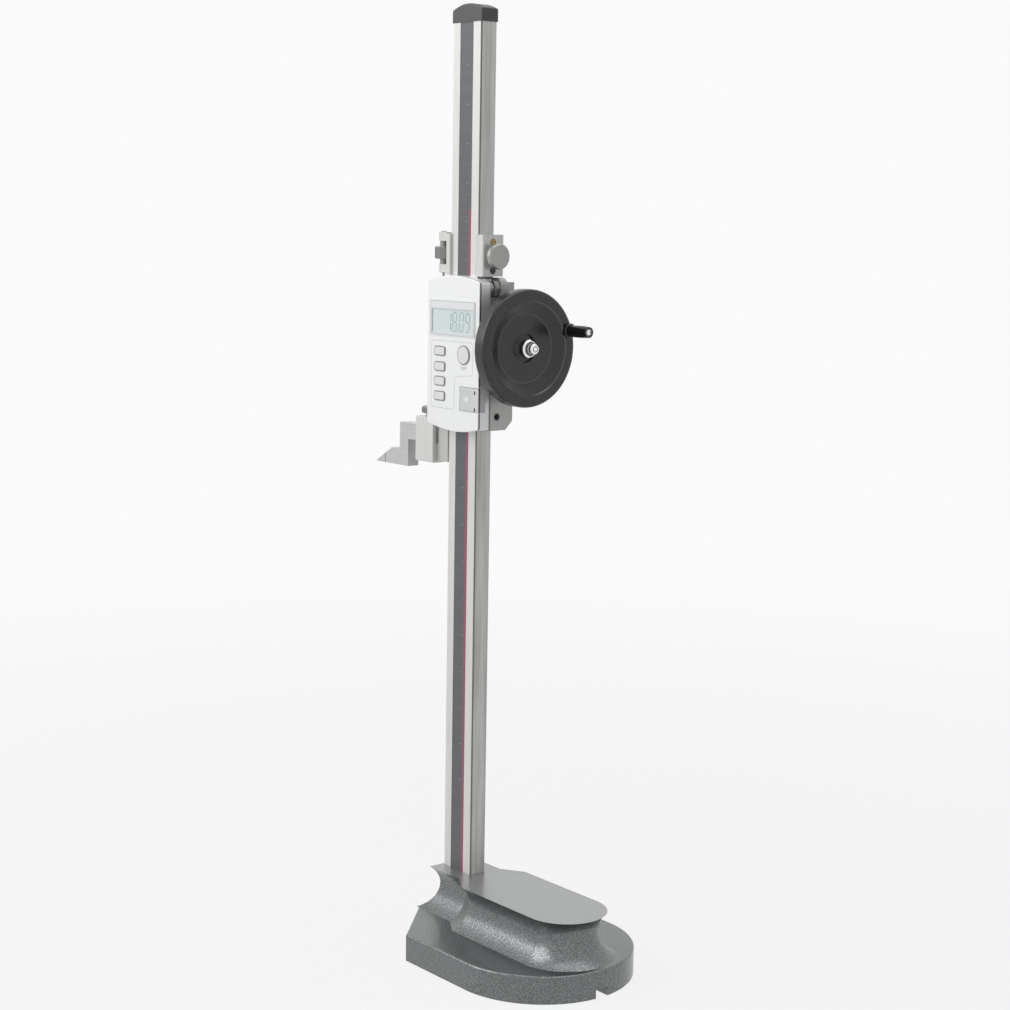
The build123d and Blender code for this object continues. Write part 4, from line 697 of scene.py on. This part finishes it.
def make_off_label():
    """Word under the power key, as flat lettering that faces the front."""
    data = bpy.data.curves.new("off_label", "FONT")
    data.body = "OFF"
    data.size = OFF_SIZE * MM
    data.align_x = "CENTER"
    data.align_y = "CENTER"
    data.extrude = MARK_RISE * MM / 2
    data.resolution_u = 3
    maker = bpy.data.objects.new("off_label_maker", data)
    mesh = made_mesh(maker)
    bpy.data.objects.remove(maker)
    bpy.data.curves.remove(data)
    place = Vector((OFF_PLACE[0], HEAD_FRONT - MARK_RISE / 2, OFF_PLACE[1])) * MM
    mesh.transform(Matrix.Translation(place) @ Matrix.Rotation(pi / 2, 4, "X"))
    mesh.materials.clear()
    mesh.materials.append(finish["line_grey"])
    add_piece("off_label", mesh, "carriage")


# ---------------------------------------------------------------- parting seam of the head

DOOR_LEFT, DOOR_RIGHT = 7.96, 27.2
DOOR_LOW, DOOR_HIGH = 369.06, 385.24
SEAM_WIDTH = 0.38
SEAM_DEPTHS = (-14.85, -13.85)
SEAM_CORNER = 1.8
SEAM_SIDE_X = 27.49
SEAM_TOP_END_Z, SEAM_TOP_PEAK_Z = 454.29, 457.99
SEAM_LOW_LEFT_Z, SEAM_LOW_PEAK_Z, SEAM_LOW_RIGHT_Z = 359.21, 354.91, 357.91
DOOR_GAP_Z = 0.12
TONGUE_REACH = 1.0


def seam_arch(start, peak, end):
    """Arch of the seam without the points that its corner bends take up."""
    points = arc_points(start, peak, end)
    inner = [p for p in points if abs(p[0]) < SEAM_SIDE_X - SEAM_CORNER]
    return [start] + inner + [end]


def soft_corners(points):
    """Path whose side corners are soft bends and whose other points stay."""
    chain = [Vector(p) for p in points]
    path = [chain[0]]
    for before, place, after in zip(chain, chain[1:], chain[2:]):
        at_side = abs(abs(place.x) - SEAM_SIDE_X) < 0.001
        path += bend(before, place, after, SEAM_CORNER, 6) if at_side else [place]
    return path + [chain[-1]]


def make_head_seam():
    """Painted shade: a dark line deep in the parting groove of the head, with its short run on the
    door.
    """
    side = SEAM_SIDE_X
    top = seam_arch((side, SEAM_TOP_END_Z), (0, SEAM_TOP_PEAK_Z), (-side, SEAM_TOP_END_Z))
    low = seam_arch((-side, SEAM_LOW_LEFT_Z), (0, SEAM_LOW_PEAK_Z), (side, SEAM_LOW_RIGHT_Z))
    above, below = (side, DOOR_HIGH + TONGUE_REACH), (side, DOOR_LOW - TONGUE_REACH)
    path = soft_corners([above] + top + low + [below])
    add_plates("head_seam", stroke_pieces(path, SEAM_WIDTH), *SEAM_DEPTHS,
               "seam_dark", "carriage", "head_shell")
    run = [(side, DOOR_LOW + DOOR_GAP_Z), (side, DOOR_HIGH - DOOR_GAP_Z)]
    add_plates("door_seam", stroke_pieces(run, SEAM_WIDTH), *SEAM_DEPTHS,
               "seam_dark", "door", "door_silver")


# ---------------------------------------------------------------- battery door marks

DOOR_LINE = 0.35
ARROW = [(12.4, 378.4), (15.2, 378.4), (15.2, 380.8), (18.6, 377.1),
         (15.2, 373.4), (15.2, 375.8), (12.4, 375.8)]
DOOR_MARKS = ((23.4, 381.9), (23.4, 370.9))
MARK_WIDTH = 1.5
MARK_HALF_H = 1.5
RIB_COUNT = 9
RIB_FIRST_X = 9.3
RIB_STEP = 1.5
RIB_SIZE = (0.55, 0.12, 14.4)


def half_disc(x, z):
    """Small D-shaped mark with its flat side to the left."""
    turns = [radians(-90 + 180 * k / 8) for k in range(9)]
    return [(x + MARK_WIDTH * cos(a), z + MARK_HALF_H * sin(a)) for a in turns]


def make_door_marks():
    """Marks, arrow and border line of the battery door."""
    front = HEAD_FRONT - MARK_RISE
    add_plates("door_marks", [half_disc(*m) for m in DOOR_MARKS], front, HEAD_FRONT,
               "dark_mark", "door", "door_silver")
    add_plates("door_arrow", [ARROW], front - RIB_SIZE[1], HEAD_FRONT,
               "arrow_white", "door", "door_silver")
    low, high = DOOR_LOW + DOOR_LINE / 2, DOOR_HIGH - DOOR_LINE / 2
    left = DOOR_LEFT + DOOR_LINE / 2
    path = [(DOOR_RIGHT, high), (left, high), (left, low), (DOOR_RIGHT, low)]
    add_plates("door_border", stroke_pieces(path, DOOR_LINE), front, HEAD_FRONT,
               "line_grey", "door", "door_silver")


# ---------------------------------------------------------------- repeats by geometry nodes

def new_tree(name, inputs):
    """Empty geometry tree with named inputs and one geometry output."""
    tree = bpy.data.node_groups.new(name, "GeometryNodeTree")
    sockets = {}
    for label, kind in inputs:
        socket = tree.interface.new_socket(label, in_out="INPUT", socket_type=kind)
        sockets[label] = socket.identifier
    tree.interface.new_socket("Geometry", in_out="OUTPUT", socket_type="NodeSocketGeometry")
    return tree, sockets


def finish_tree(tree, points, rotation, ridge, finish_socket):
    """Ridges on points, made real and given their finish."""
    nodes, links = tree.nodes, tree.links
    place = nodes.new("GeometryNodeInstanceOnPoints")
    links.new(points, place.inputs["Points"])
    links.new(ridge, place.inputs["Instance"])
    if rotation is not None:
        links.new(rotation, place.inputs["Rotation"])
    real = nodes.new("GeometryNodeRealizeInstances")
    links.new(place.outputs["Instances"], real.inputs["Geometry"])
    paint = nodes.new("GeometryNodeSetMaterial")
    links.new(real.outputs["Geometry"], paint.inputs["Geometry"])
    links.new(finish_socket, paint.inputs["Material"])
    out = nodes.new("NodeGroupOutput")
    links.new(paint.outputs["Geometry"], out.inputs["Geometry"])


def ring_tree():
    """Ridges round the Z axis, each turned to face outwards."""
    tree, sockets = new_tree("ridge_ring", [
        ("Count", "NodeSocketInt"), ("Radius", "NodeSocketFloat"),
        ("Ridge Size", "NodeSocketVector"), ("Finish", "NodeSocketMaterial")])
    nodes, links = tree.nodes, tree.links
    given = nodes.new("NodeGroupInput")
    ring = nodes.new("GeometryNodeMeshCircle")
    links.new(given.outputs["Count"], ring.inputs["Vertices"])
    links.new(given.outputs["Radius"], ring.inputs["Radius"])
    box = nodes.new("GeometryNodeMeshCube")
    links.new(given.outputs["Ridge Size"], box.inputs["Size"])
    spot = nodes.new("GeometryNodeInputPosition")
    turn = nodes.new("FunctionNodeAlignRotationToVector")
    turn.axis = "X"
    links.new(spot.outputs["Position"], turn.inputs["Vector"])
    finish_tree(tree, ring.outputs["Mesh"], turn.outputs["Rotation"], box.outputs["Mesh"],
                given.outputs["Finish"])
    return tree, sockets


def row_tree():
    """Ridges in a straight row."""
    tree, sockets = new_tree("ridge_row", [
        ("Count", "NodeSocketInt"), ("Step", "NodeSocketVector"),
        ("Ridge Size", "NodeSocketVector"), ("Finish", "NodeSocketMaterial")])
    nodes, links = tree.nodes, tree.links
    given = nodes.new("NodeGroupInput")
    line = nodes.new("GeometryNodeMeshLine")
    links.new(given.outputs["Count"], line.inputs["Count"])
    links.new(given.outputs["Step"], line.inputs["Offset"])
    box = nodes.new("GeometryNodeMeshCube")
    links.new(given.outputs["Ridge Size"], box.inputs["Size"])
    finish_tree(tree, line.outputs["Mesh"], None, box.outputs["Mesh"], given.outputs["Finish"])
    return tree, sockets


def in_metres(size):
    """Size in metres of one in millimetres."""
    return tuple(v * MM for v in size)


def placed(x, y, z, turn=None):
    """Place in millimetres, with an optional quarter turn about one axis."""
    spin = Matrix.Rotation(pi / 2, 4, turn) if turn else Matrix.Identity(4)
    return Matrix.Translation(Vector((x, y, z)) * MM) @ spin


def add_repeat(name, made_tree, values, place, body):
    """Plain mesh from a geometry tree, moved to its place in the mesh."""
    tree, sockets = made_tree
    carrier = bpy.data.objects.new(name + "_carrier", bpy.data.meshes.new(name + "_carrier"))
    modifier = carrier.modifiers.new("repeat", "NODES")
    modifier.node_group = tree
    for label, value in values.items():
        modifier[sockets[label]] = value
    mesh = made_mesh(carrier)
    carrier.modifiers.remove(modifier)
    bpy.data.objects.remove(carrier)
    mesh.transform(place)
    add_piece(name, mesh, body)


RIDGE_DEPTH = 0.36
RIDGE_SHARE = 0.5
# Name, middle, quarter turn, radius, length, count and body.
KNURLS = (("roller_teeth", (20.65, 1.45, 450.6), "X", 5.5, 3.0, 28, "roller"),
          ("fine_nut_knurl", (-24.2, -5.4, 472.85), None, 5.8, 6.9, 56, "nut"),
          ("scriber_knob_knurl", (-40.75, 0, 365.05), None, 7.95, 3.4, 76, "blade_knob"))
STRIP_FRONT = -6.3
TICK_COUNT = 22
TICK_STEP = 25.4
TICK_SIZE = (2.4, 0.04, 0.25)
TICK_X = 1.6
TICK_FIRST_Z = 62.0


def make_knurls():
    """Straight knurls of the roller, the fine nut and the scriber knob."""
    ring = ring_tree()
    for name, middle, turn, radius, length, count, body in KNURLS:
        width = 2 * pi * radius / count * RIDGE_SHARE
        values = {"Count": count, "Radius": radius * MM,
                  "Ridge Size": in_metres((RIDGE_DEPTH, width, length)),
                  "Finish": finish["knurl_steel"]}
        add_repeat(name, ring, values, placed(*middle, turn), body)


def make_door_ribs():
    """Low ribs of the battery door."""
    values = {"Count": RIB_COUNT, "Step": (RIB_STEP * MM, 0, 0),
              "Ridge Size": in_metres(RIB_SIZE), "Finish": finish["door_silver"]}
    middle_y = HEAD_FRONT - RIB_SIZE[1] / 2 + MARK_RISE
    place = placed(RIB_FIRST_X, middle_y, (DOOR_LOW + DOOR_HIGH) / 2)
    add_repeat("door_ribs", row_tree(), values, place, "door")


def make_strip_ticks():
    """Short printed marks up the right side of the strip."""
    values = {"Count": TICK_COUNT, "Step": (0, 0, TICK_STEP * MM),
              "Ridge Size": in_metres(TICK_SIZE), "Finish": finish["tick_print"]}
    place = placed(TICK_X, STRIP_FRONT - TICK_SIZE[1] / 4, TICK_FIRST_Z)
    add_repeat("strip_ticks", row_tree(), values, place, "base")


# ---------------------------------------------------------------- plates of strip, head and blade

STRIP_ENDS = (rectangle(-7.15, 48.03, 6.55, 51.0), rectangle(-7.15, 620.0, 6.55, 622.97))
STRIP_BACK = -5.72
BACK_STRIPS = (rectangle(-25.7, 361.0, -20.15, 452.0), rectangle(22.15, 387.0, 25.7, 452.0))
BACK_STRIP_DEPTHS = (-8.6, -7.2)
BLADE_FRONT = -4.5
BRAZE_LINE = 0.6
BRAZE_PATH = [(-90.9, 323.6), (-90.9, 330.2)]


def make_strip_ends():
    """Ends of the strip, down to the top of the base and up to the cap."""
    add_plates("strip_ends", STRIP_ENDS, STRIP_FRONT, STRIP_BACK,
               "strip_film", "base", "strip_film")


def make_back_strips():
    """Narrow covers that close the back of the head on both sides of the slider."""
    add_plates("back_strips", BACK_STRIPS, *BACK_STRIP_DEPTHS,
               "head_shell", "carriage", "head_shell")


def make_braze_line():
    """Dark joint line of the carbide tip on the front of the foot."""
    add_plates("braze_line", stroke_pieces(BRAZE_PATH, BRAZE_LINE), BLADE_FRONT - MARK_RISE,
               BLADE_FRONT, "seam_dark", "blade", "blade_steel")


# ---------------------------------------------------------------- turned lines

WHEEL_MIDDLE = (11.5, 411.8)
HANDLE_MIDDLE = (44.8, 422.8)
# Each line is a small profile of (radius, x) points.
# Painted highlight: thin paler rings on the edges of the wheel's dish.
WHEEL_EDGES = (((31.52, 47.84), (31.52, 47.5), (30.9, 46.95), (30.72, 47.12)),
               ((23.15, 42.78), (23.15, 42.35), (22.5, 42.35), (22.5, 42.56)))
# Painted shade: dark rings where the grooves of the nut and of the handle's screw are.
NUT_GROOVES = (((6.04, 43.3), (6.04, 44.5), (5.9, 44.5), (5.9, 43.3)),
               ((6.04, 45.7), (6.04, 46.5), (5.9, 46.5), (5.9, 45.7)),
               ((4.7, 48.63), (4.7, 48.5), (3.7, 48.5), (3.7, 48.63)),
               ((2.0, 53.54), (2.0, 53.4), (1.5, 53.4), (1.5, 53.54)))
SCREW_RING = (((2.25, 68.23), (2.25, 68.1), (1.7, 68.1), (1.7, 68.23)),)
TURN_STEPS = 120


def add_turned(name, profiles, middle, look):
    """Closed rings round an axis along X, riding on the handwheel."""
    points, faces = [], []
    middle_y, middle_z = middle
    for profile in profiles:
        start, count = len(points), len(profile)
        for k in range(TURN_STEPS):
            angle = 2 * pi * k / TURN_STEPS
            for r, x in profile:
                points.append((x, middle_y + r * cos(angle), middle_z + r * sin(angle)))
        for k in range(TURN_STEPS):
            here = start + k * count
            there = start + (k + 1) % TURN_STEPS * count
            for i in range(count):
                j = (i + 1) % count
                faces.append((here + i, here + j, there + j, there + i))
    add_mesh(name, points, faces, look, "handwheel_set")


def make_turned_lines():
    """Painted highlight rings on the edges of the wheel's dish, and painted shade as dark rings in
    the grooves of its nut and of the handle's screw.
    """
    add_turned("wheel_edges", WHEEL_EDGES, WHEEL_MIDDLE, "polished_edge")
    add_turned("nut_grooves", NUT_GROOVES, WHEEL_MIDDLE, "seam_dark")
    add_turned("screw_ring", SCREW_RING, HANDLE_MIDDLE, "seam_dark")


bpy.context.scene.view_settings.view_transform = "Standard"
make_camera()
make_finishes()
dress_frame()
make_light()
make_floor()
make_digits()
make_key_rims()
make_panel_line()
make_head_seam()
make_window_lines()
make_off_label()
make_door_marks()
make_door_ribs()
make_knurls()
make_strip_ticks()
make_strip_ends()
make_turned_lines()
make_back_strips()
make_braze_line()
